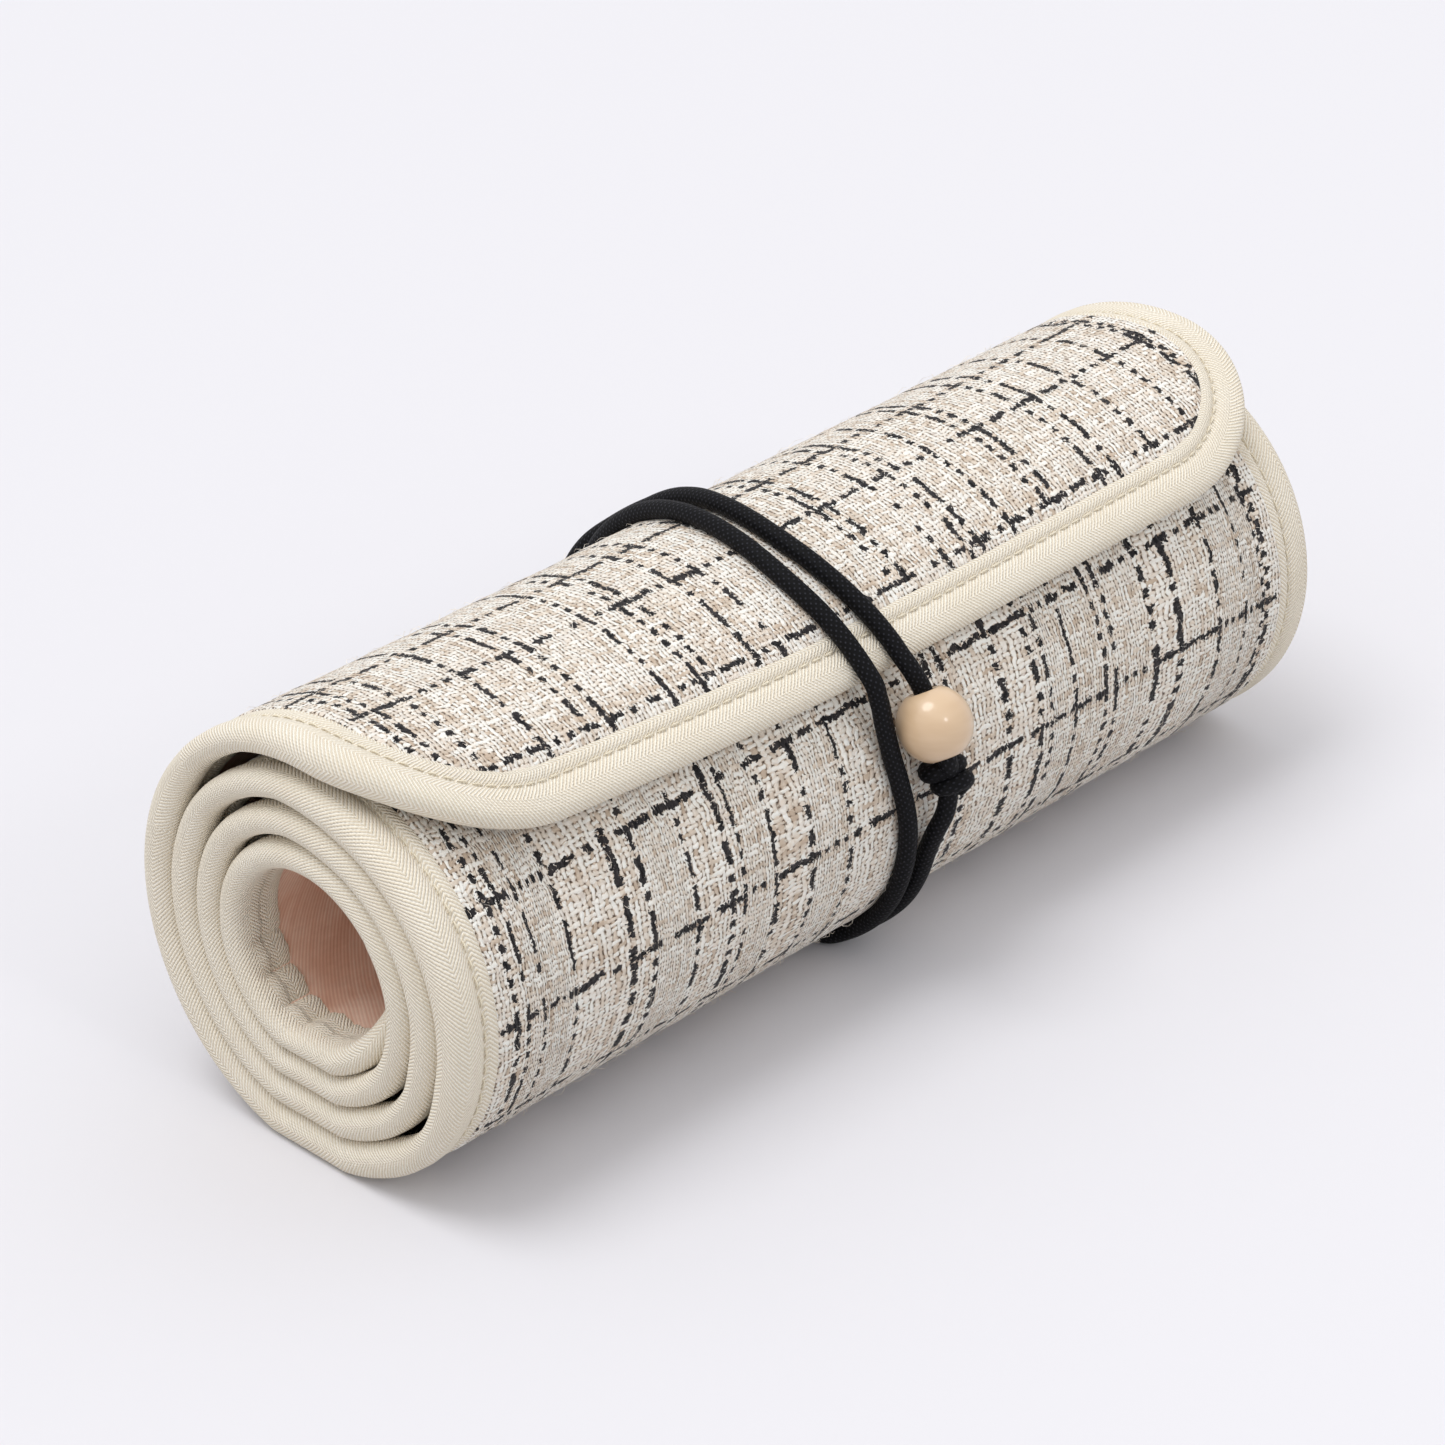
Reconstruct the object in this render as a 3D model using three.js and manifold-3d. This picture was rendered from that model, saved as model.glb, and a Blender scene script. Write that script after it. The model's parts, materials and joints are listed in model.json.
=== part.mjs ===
// A travel jewelry organizer, rolled up and tied: a padded tweed panel with a blush lining and a
// twill edge tape, wound four times round, with its zip pockets and ring strap inside, and a
// doubled elastic cord with a knot and a wooden bead round the middle.
// Millimetres. +X runs along the roll, -Y is the front, +Z is up, and the roll lies on z = 0.
import * as THREE from 'three';
import { mergeVertices } from 'three/addons/utils/BufferGeometryUtils.js';
import Module from 'manifold-3d';

const wasm = await Module();
wasm.setup();

// The rolled sheet
const sheetWidth = 195;
const tipRadius = 38.2;
const outerPitch = 6.6;
const innerPitch = 4.6;
const cornerRadius = 28;
const wholeTurns = 4;
const tipAngle = THREE.MathUtils.degToRad(38);
const stepsPerTurn = 30;
const hingeSteps = 9;
const cornerSteps = 6;
const newtonSteps = 12;
const flapTapeSteps = 8;
const rolledTapeSteps = 12;
const tapeBend = 0.5;
const noseSteps = 4;
const hollowSteps = 2;
const clearance = 0.3;
const flatDepth = 0.9;

// The layers of the sheet, outside to inside
const tweedThickness = 1.3;
const tapedTweedThickness = 0.6;
const wadding = 0.7;
const liningThickness = 0.25;
const edgeThickness = 4.2;
const tapeThickness = 0.35;
const tapeWidth = 9;
const panelInset = 2.4;
const footShare = 0.1;
const browShare = 0.15;

// How the loose flap lies on the turn below it
const squeezeShare = 0.35;
const tiePress = 1.2;
const nearLift = 2.6;
const farLift = 1.4;
const flapStations = 8;

// The elastic cord, its knot and its bead
const cordDiameter = 3;
const cordSides = 8;
const cordSteps = 104;
const routeSteps = 260;
const floorGap = 0.15;
const dentFull = 4;
const dentFade = 5.4;
const dentX = -2.8;
const dentSlant = 4.4;
const beadDiameter = 12;
const beadLength = 11;
const beadBoreClearance = 0.5;
const beadSegments = 20;
const beadArcSteps = 10;
const knotCordDiameter = 2;
const knotCordGap = 0.45;
const knotPitch = 2.6;
const knotWraps = 1.9;
const knotSteps = 32;
const gapSamples = 416;
const gapReachShare = 3;

// The cord's two laps, from the knot down under the roll and round again: degrees from the front
// over the top, the place along the roll, and the height over where the cord would lie
const cordRoute = [
  [6.6, 2, 3.2], [-1.5, 1.6, 2.7], [-9, 1.2, 1.2], [-17, 1.6, 0.2], [-28, 2.3, 0], [-42, 2.9, 0], [-60, 2.1, 0],
  [-75, 0.7, 0], [-90, -0.9, 0], [-105, -1.9, 0], [-120, -2.7, 0], [-135, -3.2, 0], [-150, -3.6, 0],
  [-165, -3.9, 0], [-180, -4.3, 0], [-195, -4.7, 0], [-210, -5.1, 0], [-225, -5.7, 0],
  [-240, -6.6, 0], [-248, -7.3, 0], [-255, -8.1, 0], [-262, -8.9, 0], [-270, -9.7, 0],
  [-278, -10.3, 0], [-287, -10.7, 0], [-295, -10.6, 0], [-303, -10, 0], [-312, -9.4, 0],
  [-319, -9, 0], [-322, -8.8, 0.1], [-326, -8.4, 4], [-333, -7.7, 2.3], [-342, -6.7, 0.7],
  [-353, -5.2, 0], [-364, -4, 0], [-376, -3.3, 0], [-390, -2.5, 0], [-405, -1.5, 0],
  [-420, -1.7, 0], [-435, -3.1, 0], [-450, -4.6, 0], [-465, -5.6, 0], [-480, -6.3, 0],
  [-495, -6.9, 0.1], [-508, -7.1, 1.2], [-520, -6.8, 2.7], [-532, -6.1, 3.6], [-544, -5.1, 3.8],
  [-556, -3.9, 3.8], [-567, -2.6, 3.2], [-579, -1.4, 1.2], [-592, -0.6, 0], [-602, -0.9, 0],
  [-612, -1.9, 0], [-622, -3.3, 0], [-632, -4.3, 0], [-642, -4.7, 0], [-652, -4.2, 0],
  [-662, -3.3, 0], [-671, -2.3, 0], [-678, -1.7, 0.1], [-682, -1.6, 0.6], [-686, -1.4, 5.5],
  [-691, -1, 5.6], [-697.5, -0.3, 4.7], [-706, 0.9, 4.5], [-711.8, 1.9, 3.3],
];
const beadStepsFromEnd = 3;
const tipStep = THREE.MathUtils.degToRad(4);

// The pockets and the ring strap, at shares of the sheet's length from the flap's tip
const pocketStandoff = 0.35;
const pocketThickness = 0.25;
const outerZipShare = 0.351;
const outerPocketEndShare = 0.48;
const earringPanelStartShare = 0.493;
const earringPanelEndShare = 0.601;
const earringPanelWidth = 150;
const earringPanelThickness = 0.6;
const innerZipShare = 0.637;
const innerPocketEndShare = 0.749;
const ringStrapStartShare = 0.765;
const ringStrapWidth = 15;
const ringStrapLength = 132;
const ringStrapThickness = 0.35;
const slipPocketStartShare = 0.818;
const slipHemWidth = 7;
const slipHemThickness = 0.3;

// The zips
const zipTapeWidth = 5;
const zipTapeThickness = 0.2;
const coilWidth = 1;
const coilHeight = 0.5;
const coilGap = 1;
const coilSink = 0.1;
const hingeGap = 0.4;
const sliderStandoff = 0.42;
const sliderLength = 8;
const sliderWidth = 4.6;
const sliderWaist = 3.4;
const sliderCurveSteps = 3;
const plateThickness = 0.2;
const plateGap = 0.1;
const postLength = 1.8;
const postWidth = 0.6;
const bailLength = 3.2;
const bailWidth = 1.1;
const bailBar = 0.2;
const bailLeg = 0.7;
const pullLength = 14;
const pullWidth = 3.6;
const pullThickness = 0.2;
const pullGap = 0.1;
const pullEyeBar = 0.9;
const pullCurveSteps = 6;
const zipEndMargin = 3;

// The snap of the ring strap
const snapRadius = 2.2;
const snapFlange = 0.2;
const snapGap = 0.45;
const snapInset = 8;
const snapCurveSteps = 16;

const fullTurn = 2 * Math.PI;
const down = 1.5 * Math.PI;
const hingeTurn = hingeSteps / stepsPerTurn;

// Where the layers start and end below the sheet's outer face
const tapedTweedTop = tweedThickness - tapedTweedThickness;
const waddingTop = tweedThickness + clearance;
const waddingBase = waddingTop + wadding;
const liningTop = waddingBase + clearance;
const liningBase = liningTop + liningThickness;
const pocketTop = liningBase + pocketStandoff;
const pocketBase = pocketTop + pocketThickness;

// The spiral: its radius and its length at a number of turns from the tip, and the way back
const pitchLoss = (outerPitch - innerPitch) / (2 * wholeTurns);
const radiusAt = (turn) => tipRadius - outerPitch * turn + pitchLoss * turn * turn;

function lengthAt(turn) {
  const midRadius = tipRadius - edgeThickness / 2;
  return fullTurn * turn * (midRadius - outerPitch * turn / 2 + pitchLoss * turn * turn / 3);
}

function turnAt(length) {
  let turn = length / (fullTurn * tipRadius);
  for (let k = 0; k < newtonSteps; k += 1) {
    turn += (length - lengthAt(turn)) / (fullTurn * (radiusAt(turn) - edgeThickness / 2));
  }
  return turn;
}

const sheetLength = lengthAt(wholeTurns);
const bottomTurn = (down - tipAngle) / fullTurn;
const axisHeight = radiusAt(bottomTurn) - flatDepth;

// The cord runs under the roll, so the outer turn is dented there, by the cord's own height
const cordRadius = cordDiameter / 2;
const dentHeight = cordDiameter + clearance + floorGap;
const dentCentre = (fromBottom) => dentX + dentSlant * fromBottom;
const fade = (share) => THREE.MathUtils.smoothstep(share, 0, 1);

function dentAt(x, fromBottom) {
  const out = Math.abs(x - dentCentre(fromBottom)) - dentFull;
  return dentHeight * (1 - fade(out / dentFade));
}

// How far the flap stands off the spiral: pinned under the tie, loose at both ends
function liftAt(x, turn) {
  if (turn >= hingeTurn) return 0;
  const side = x < 0 ? nearLift : farLift;
  const across = 2 * x / sheetWidth;
  const towardsTip = 1 - Math.max(turn, 0) / hingeTurn;
  return ((side + tiePress) * across * across - tiePress) * fade(towardsTip);
}

// A point of the rolled sheet: x across it, a length along it from the tip, and a depth below
// its outer face. The lowest part of each turn is pressed flat by the roll's own weight, and the
// outer turn is pressed in, and thinner, where the cord passes under it.
function sheetPoint(x, length, depth) {
  const turn = turnAt(length);
  const angle = tipAngle + fullTurn * turn;
  const lap = Math.round(turn - bottomTurn);
  const fromBottom = fullTurn * (turn - bottomTurn - lap);
  const facingDown = Math.cos(fromBottom);
  const round = radiusAt(turn) + liftAt(x, turn);
  const floor = radiusAt(bottomTurn + lap) - flatDepth;
  const flat = facingDown > 0 ? Math.min(round, floor / facingDown) : round;
  const dented = facingDown > 0 && lap === 0
    ? Math.min(flat, (floor - dentAt(x, fromBottom)) / facingDown) : flat;
  const thinning = 1 - squeezeShare * (flat - dented) / liningBase;
  const radius = dented - depth * thinning;
  return new THREE.Vector3(x, -radius * Math.cos(angle), axisHeight + radius * Math.sin(angle));
}

// A closed solid from its corners and triangles, turned the right way out
function solidOf(points, triangles) {
  const flat = new Float32Array(points.flatMap((p) => [p.x, p.y, p.z]));
  const geometry = new THREE.BufferGeometry();
  geometry.setAttribute('position', new THREE.BufferAttribute(flat, 3));
  let volume = 0;
  for (let i = 0; i < triangles.length; i += 3) {
    const [a, b, c] = [points[triangles[i]], points[triangles[i + 1]], points[triangles[i + 2]]];
    volume += a.dot(new THREE.Vector3().crossVectors(b, c));
  }
  if (volume < 0) triangles.reverse();
  geometry.setIndex(triangles);
  return geometry;
}

// Two chains of points joined by triangles, each step taken on the chain that lags behind
function join(first, second, triangles) {
  let i = 0;
  let j = 0;
  while (i < first.ids.length - 1 || j < second.ids.length - 1) {
    const onFirst = j === second.ids.length - 1
      || (i < first.ids.length - 1 && first.shares[i + 1] <= second.shares[j + 1]);
    if (onFirst) {
      triangles.push(first.ids[i], first.ids[i + 1], second.ids[j]);
      i += 1;
    } else {
      triangles.push(first.ids[i], second.ids[j + 1], second.ids[j]);
      j += 1;
    }
  }
}

// A solid through rows that each have an outer and an inner chain of points. A row's plan gives
// each point a place, a depth and its share of the chain, and the row puts it in space.
function loft(rows) {
  const points = [];
  const triangles = [];
  const chain = (row, plan) => ({
    ids: plan.map((point) => points.push(row.place(point)) - 1),
    shares: plan.map((point) => point[2]),
  });
  const chains = rows.map((row) => ({ outer: chain(row, row.outer), inner: chain(row, row.inner) }));
  const wall = (a, b, c, d) => triangles.push(a, b, c, b, d, c);
  for (let k = 0; k + 1 < rows.length; k += 1) {
    const [here, next] = [chains[k], chains[k + 1]];
    join(here.outer, next.outer, triangles);
    join(next.inner, here.inner, triangles);
    wall(here.inner.ids[0], here.outer.ids[0], next.inner.ids[0], next.outer.ids[0]);
    wall(here.outer.ids.at(-1), here.inner.ids.at(-1), next.outer.ids.at(-1), next.inner.ids.at(-1));
  }
  join(chains[0].inner, chains[0].outer, triangles);
  join(chains.at(-1).outer, chains.at(-1).inner, triangles);
  return solidOf(points, triangles);
}

// Half the sheet's width at a distance from its end, an inset inside its round-cornered edge
function halfWidth(fromEnd, inset) {
  const radius = cornerRadius - inset;
  const up = cornerRadius - fromEnd;
  const straight = sheetWidth / 2 - inset;
  return up > 0 ? straight - radius + Math.sqrt(Math.max(radius * radius - up * up, 0)) : straight;
}

// Lengths along the sheet at which rows stand: both ends, the spiral's own steps between them,
// and any more that are asked for
function rowLengths(start, end, more = []) {
  const wanted = [...more];
  for (let k = 0; k <= stepsPerTurn * wholeTurns; k += 1) wanted.push(lengthAt(k / stepsPerTurn));
  const rows = [start];
  for (const length of wanted.sort((a, b) => a - b)) {
    if (length > rows.at(-1) + clearance / 2 && length < end - clearance / 2) rows.push(length);
  }
  return [...rows, end];
}

// Distances from the sheet's end of the steps round its corners, an inset inside its edge
function cornerDistances(inset) {
  const steps = Array.from({ length: cornerSteps }, (_, k) => (k + 1) / cornerSteps * Math.PI / 2);
  return steps.map((angle) => inset + (cornerRadius - inset) * (1 - Math.cos(angle)));
}

// Places across the sheet where a row bends: the flap's bow, or the dent under the cord
function bendsAcross(length) {
  const turn = turnAt(length);
  if (turn < hingeTurn) {
    const straight = sheetWidth / 2 - cornerRadius;
    return Array.from({ length: flapStations - 1 }, (_, k) => straight * (2 * (k + 1) / flapStations - 1));
  }
  const fromBottom = fullTurn * (turn - bottomTurn);
  const reach = Math.acos((axisHeight - dentHeight) / radiusAt(bottomTurn));
  if (Math.abs(fromBottom) > reach + fullTurn / stepsPerTurn) return [];
  const offsets = [dentFull, dentFull + dentFade / 2, dentFull + dentFade];
  const both = [...offsets.toReversed().map((offset) => -offset), ...offsets];
  return both.map((offset) => dentCentre(fromBottom) + offset);
}

// The two stretches of the sheet that the hinge line parts: the flap, whose distances from its
// end run with the length, and the rolled stretch, whose distances run against it
const hingeAt = lengthAt(hingeTurn);
const flap = {
  distance: (length) => length,
  span: (inset) => [inset, hingeAt - hingeGap / 2],
  tapeSteps: flapTapeSteps,
};
const rolled = {
  distance: (length) => sheetLength - length,
  span: (inset) => [hingeAt + hingeGap / 2, sheetLength - inset],
  tapeSteps: rolledTapeSteps,
};

// A chain of points across the sheet at one depth, given the shares between its two ends
function across(half, bends, depth, margin = 0) {
  const share = (x) => margin + (1 - 2 * margin) * (x / half + 1) / 2;
  return [-half, ...bends, half].map((x) => [x, depth, share(x)]);
}

// A layer of one thickness that reaches under the edge tape, from one length to another
function innerLayer(stretch, [start, end], top, base) {
  const rows = rowLengths(start, end, cornerDistances(panelInset).map(stretch.distance));
  return loft(rows.map((length) => {
    const edge = halfWidth(stretch.distance(length), panelInset);
    const bends = bendsAcross(length).filter((x) => Math.abs(x) < edge - clearance);
    return {
      outer: across(edge, bends, top),
      inner: across(edge, bends, base),
      place: ([x, depth]) => sheetPoint(x, length, depth),
    };
  }));
}

// The tweed: full and level with the tape in the open field, thinner where the tape grips it
function tweedLayer(stretch) {
  const [start, end] = stretch.span(panelInset);
  const foot = tapeWidth + clearance;
  const brow = foot + clearance;
  const more = [...cornerDistances(panelInset), ...cornerDistances(foot), foot, brow];
  const rows = rowLengths(start, end, more.map(stretch.distance));
  return loft(rows.map((length) => {
    const distance = stretch.distance(length);
    const edge = halfWidth(distance, panelInset);
    const bends = bendsAcross(length).filter((x) => Math.abs(x) < edge - clearance);
    const inField = distance > brow - clearance / 2;
    const footX = Math.min(halfWidth(Math.max(distance, foot), foot), edge - clearance);
    const plain = across(footX, bends, tapedTweedTop, footShare);
    const browX = halfWidth(distance, brow);
    const field = bends.filter((x) => Math.abs(x) < browX - clearance);
    const raised = [plain[0], ...across(browX, field, 0, browShare), plain.at(-1)];
    const outer = inField ? raised : plain;
    return {
      outer: [[-edge, tapedTweedTop, 0], ...outer, [edge, tapedTweedTop, 1]],
      inner: across(edge, bends, tweedThickness),
      place: ([x, depth]) => sheetPoint(x, length, depth),
    };
  }));
}

// A chain whose points get the shares of its own length
function withShares(plan) {
  const lengths = [0];
  for (let i = 1; i < plan.length; i += 1) {
    lengths.push(lengths[i - 1] + Math.hypot(plan[i][0] - plan[i - 1][0], plan[i][1] - plan[i - 1][1]));
  }
  return plan.map(([inside, depth], i) => [inside, depth, lengths[i] / lengths.at(-1)]);
}

// The folded edge tape, as a row of its section: its distance inside the sheet's edge and depth
function tapeSection(middles) {
  const nose = edgeThickness / 2;
  const hollow = nose - tapeThickness;
  const round = (radius, angle) => [nose - radius * Math.sin(angle), nose - radius * Math.cos(angle)];
  const outer = [[tapeWidth, 0], ...middles.map((inside) => [inside, 0])];
  const inner = [[tapeWidth, tapeThickness], ...middles.map((inside) => [inside, tapeThickness])];
  for (let k = 0; k <= noseSteps; k += 1) outer.push(round(nose, k / noseSteps * Math.PI));
  for (let k = 0; k <= hollowSteps; k += 1) inner.push(round(hollow, k / hollowSteps * Math.PI));
  for (const inside of [...middles.toReversed(), tapeWidth]) {
    outer.push([inside, edgeThickness]);
    inner.push([inside, edgeThickness - tapeThickness]);
  }
  return { outer: withShares(outer), inner: withShares(inner) };
}

// The edge tape round one stretch: up the near edge, round the end and back down the far edge
function edgeTape(stretch) {
  const [start, end] = stretch.span(0);
  const distances = rowLengths(start, end).map(stretch.distance).filter((d) => d > cornerRadius);
  distances.sort((a, b) => b - a);
  const halfSheet = sheetWidth / 2;
  const cornerX = halfSheet - cornerRadius;
  const stations = distances.map((distance) => ({ x: -halfSheet, distance, inX: 1, inEnd: 0 }));
  for (let k = 0; k <= stretch.tapeSteps; k += 1) {
    const angle = k / stretch.tapeSteps * Math.PI / 2;
    const [inX, inEnd] = [Math.cos(angle), Math.sin(angle)];
    stations.push({ x: -cornerX - cornerRadius * inX, distance: cornerRadius * (1 - inEnd), inX, inEnd });
  }
  const mirrored = stations.toReversed().map((s) => ({ ...s, x: -s.x, inX: -s.inX }));
  const bends = bendsAcross(stretch === flap ? 0 : sheetLength);
  const endStations = bends.map((x) => ({ x, distance: 0, inX: 0, inEnd: 1 }));
  const sections = { side: tapeSection([]), end: tapeSection([tapeWidth * tapeBend]) };
  return loft([...stations, ...endStations, ...mirrored].map(({ x, distance, inX, inEnd }) => ({
    ...(inEnd > 0 ? sections.end : sections.side),
    place: ([inside, depth]) => (
      sheetPoint(x + inX * inside, stretch.distance(distance + inEnd * inside), depth)),
  })));
}

// A plain strip on the sheet's inside, such as a pocket panel
function strip(start, end, half, top, base) {
  return loft(rowLengths(start, end).map((length) => ({
    outer: across(half, [], top),
    inner: across(half, [], base),
    place: ([x, depth]) => sheetPoint(x, length, depth),
  })));
}

// Solids joined into one
function manifoldOf(geometry) {
  const bare = geometry.clone();
  bare.deleteAttribute('normal');
  bare.deleteAttribute('uv');
  const merged = mergeVertices(bare, 1e-4);
  return new wasm.Manifold(new wasm.Mesh({
    numProp: 3,
    vertProperties: new Float32Array(merged.attributes.position.array),
    triVerts: new Uint32Array(merged.index.array),
  }));
}

function geometryOf(manifold) {
  const mesh = manifold.getMesh();
  const geometry = new THREE.BufferGeometry();
  geometry.setAttribute('position', new THREE.BufferAttribute(mesh.vertProperties, 3));
  geometry.setIndex(Array.from(mesh.triVerts));
  return geometry;
}

const joined = (...geometries) => (
  geometryOf(geometries.map(manifoldOf).reduce((all, next) => all.add(next))));

// A block between two corners, and a flat plate of an outline
function block([x0, x1], [y0, y1], [z0, z1]) {
  const geometry = new THREE.BoxGeometry(x1 - x0, y1 - y0, z1 - z0);
  return geometry.translate((x0 + x1) / 2, (y0 + y1) / 2, (z0 + z1) / 2);
}

function plate(shape, bottom, thickness, curveSegments) {
  const geometry = new THREE.ExtrudeGeometry(shape, { depth: thickness, bevelEnabled: false, curveSegments });
  return geometry.translate(0, 0, bottom);
}

// The frame of flat hardware on the sheet: x along the roll, y towards the tip, z the depth
function hardwareFrame(x, length) {
  const [ahead, behind] = [length - sliderWidth / 2, length + sliderWidth / 2];
  const tipward = sheetPoint(x, ahead, 0).sub(sheetPoint(x, behind, 0)).normalize();
  const along = new THREE.Vector3(1, 0, 0);
  const inward = new THREE.Vector3().crossVectors(along, tipward);
  const frame = new THREE.Matrix4().makeBasis(along, tipward, inward);
  return frame.setPosition(sheetPoint(x, length, 0));
}

// The model, built as named meshes in one group
const roll = new THREE.Group();
const finishes = {
  tweed: { color: 0xe6dfd4, roughness: 0.95, metalness: 0 },
  wadding: { color: 0xf2f0ea, roughness: 1, metalness: 0 },
  lining: { color: 0xd9a796, roughness: 0.45, metalness: 0 },
  twill: { color: 0xeae3cf, roughness: 0.85, metalness: 0 },
  suede: { color: 0xcf9d8e, roughness: 0.9, metalness: 0 },
  elastic: { color: 0x17171a, roughness: 0.7, metalness: 0 },
  beech: { color: 0xdcb98c, roughness: 0.25, metalness: 0 },
  gilt: { color: 0xc9a46a, roughness: 0.3, metalness: 1 },
};

function add(name, finish, geometry) {
  const mesh = new THREE.Mesh(geometry, new THREE.MeshStandardMaterial(finishes[finish]));
  mesh.name = name;
  roll.add(mesh);
}

// The sheet's own layers, for each side of the hinge line
function addStretch(prefix, stretch) {
  add(`${prefix}_outer_panel`, 'tweed', tweedLayer(stretch));
  const span = stretch.span(panelInset);
  add(`${prefix}_wadding`, 'wadding', innerLayer(stretch, span, waddingTop, waddingBase));
  add(`${prefix}_lining`, 'lining', innerLayer(stretch, span, liningTop, liningBase));
  add(`${prefix}_edge_tape`, 'twill', edgeTape(stretch));
}

// A zip across the sheet: two tapes with their coils, a slider and its pull
const zipHalf = sheetWidth / 2 - tapeWidth - zipEndMargin;
const lowerPlateTop = liningBase + sliderStandoff;
const zipTapeTop = lowerPlateTop + plateThickness + plateGap;
const coilTop = zipTapeTop + zipTapeThickness - coilSink;
const upperPlateTop = coilTop + coilHeight + plateGap;
const pullTop = upperPlateTop + plateThickness + pullGap;
const bailTop = pullTop + pullThickness + pullGap;

function zipTape(zipAt, side) {
  const near = zipAt + side * coilGap / 2;
  const far = near + side * zipTapeWidth;
  const cloth = strip(Math.min(near, far), Math.max(near, far), zipHalf, zipTapeTop, zipTapeTop + zipTapeThickness);
  const edges = [-side * coilGap / 2, -side * (coilGap / 2 + coilWidth)].sort((a, b) => a - b);
  const coil = block([-zipHalf, zipHalf], edges, [coilTop, coilTop + coilHeight]);
  return joined(cloth, coil.applyMatrix4(hardwareFrame(0, zipAt)));
}

function sliderShape() {
  const [halfLength, halfWidthFront, halfWidthBack] = [sliderLength / 2, sliderWidth / 2, sliderWaist / 2];
  const shape = new THREE.Shape();
  shape.moveTo(-halfLength, -halfWidthBack);
  shape.quadraticCurveTo(0, -halfWidthBack, 0, -halfWidthFront);
  shape.quadraticCurveTo(halfLength, -halfWidthFront, halfLength, 0);
  shape.quadraticCurveTo(halfLength, halfWidthFront, 0, halfWidthFront);
  shape.quadraticCurveTo(0, halfWidthBack, -halfLength, halfWidthBack);
  return shape;
}

function slider(frame) {
  const halfLength = sliderLength / 2;
  const bailEnd = bailLength / 2;
  const post = [halfLength - postLength - plateThickness, halfLength - plateThickness];
  const onPlate = upperPlateTop + plateThickness - coilSink;
  const bailAcross = [-bailWidth / 2, bailWidth / 2];
  const geometry = joined(
    plate(sliderShape(), lowerPlateTop, plateThickness, sliderCurveSteps),
    plate(sliderShape(), upperPlateTop, plateThickness, sliderCurveSteps),
    block(post, [-postWidth / 2, postWidth / 2], [lowerPlateTop + coilSink, onPlate]),
    block([-bailEnd, -bailEnd + bailLeg], bailAcross, [onPlate, bailTop + bailBar]),
    block([bailEnd - bailLeg, bailEnd], bailAcross, [onPlate, bailTop + bailBar]),
    block([-bailEnd, bailEnd], bailAcross, [bailTop, bailTop + bailBar]),
  );
  return geometry.applyMatrix4(frame);
}

function pull(frame) {
  const bar = pullEyeBar / 2;
  const half = pullWidth / 2;
  const eyeEnd = bailLength / 2 + clearance;
  const shape = new THREE.Shape();
  shape.moveTo(bar, -half);
  shape.lineTo(bar, half);
  shape.lineTo(bar - pullLength + half, half);
  shape.absarc(bar - pullLength + half, 0, half, Math.PI / 2, Math.PI * 1.5, false);
  shape.lineTo(bar, -half);
  const eye = new THREE.Path();
  const eyeHalf = bailWidth / 2 + clearance;
  eye.moveTo(-bar, -eyeHalf);
  eye.lineTo(-eyeEnd, -eyeHalf);
  eye.lineTo(-eyeEnd, eyeHalf);
  eye.lineTo(-bar, eyeHalf);
  eye.lineTo(-bar, -eyeHalf);
  shape.holes.push(eye);
  return plate(shape, pullTop, pullThickness, pullCurveSteps).applyMatrix4(frame);
}

function addZip(prefix, zipAt) {
  const frame = hardwareFrame(zipHalf - zipEndMargin - sliderLength / 2, zipAt);
  add(`${prefix}_zip_tape_near_hem`, 'lining', zipTape(zipAt, -1));
  add(`${prefix}_zip_tape_near_pocket`, 'lining', zipTape(zipAt, 1));
  add(`${prefix}_zip_slider`, 'gilt', slider(frame));
  add(`${prefix}_zip_pull`, 'gilt', pull(frame));
}

function addZipPocket(prefix, zipShare, pocketEndShare) {
  const [zipAt, pocketEnd] = [sheetLength * zipShare, sheetLength * pocketEndShare];
  const panelStart = zipAt + coilGap / 2 + zipTapeWidth + clearance;
  const half = sheetWidth / 2 - panelInset;
  add(`${prefix}_panel`, 'lining', strip(panelStart, pocketEnd, half, pocketTop, pocketBase));
  addZip(prefix, zipAt);
}

function addEarringPanel() {
  const [start, end] = [sheetLength * earringPanelStartShare, sheetLength * earringPanelEndShare];
  const top = liningBase + clearance;
  add('earring_panel', 'suede',
    strip(start, end, earringPanelWidth / 2, top, top + earringPanelThickness));
}

// The slip pocket: a panel bound in with the sheet's inner end, and the hem of its mouth
function addSlipPocket() {
  const start = sheetLength * slipPocketStartShare;
  const hemTop = pocketBase + clearance;
  const hemHalf = sheetWidth / 2 - tapeWidth - clearance;
  add('slip_pocket_panel', 'lining',
    innerLayer(rolled, [start, sheetLength - panelInset], pocketTop, pocketBase));
  add('slip_pocket_hem', 'twill',
    strip(start, start + slipHemWidth, hemHalf, hemTop, hemTop + slipHemThickness));
}

// The ring strap: one end sewn down, the other closed by a snap
function addRingStrap() {
  const half = ringStrapLength / 2;
  const start = sheetLength * ringStrapStartShare;
  const end = start + ringStrapWidth;
  const studTop = liningBase + snapGap;
  const strapTop = studTop + snapFlange + clearance;
  const capTop = strapTop + ringStrapThickness + snapGap;
  const frame = hardwareFrame(half - snapInset, start + ringStrapWidth / 2);
  const disc = new THREE.Shape().absarc(0, 0, snapRadius, 0, fullTurn, false);
  add('ring_strap', 'lining', strip(start, end, half, strapTop, strapTop + ringStrapThickness));
  add('ring_strap_snap_stud', 'gilt', plate(disc, studTop, snapFlange, snapCurveSteps).applyMatrix4(frame));
  add('ring_strap_snap_cap', 'gilt', plate(disc, capTop, snapFlange, snapCurveSteps).applyMatrix4(frame));
}

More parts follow.
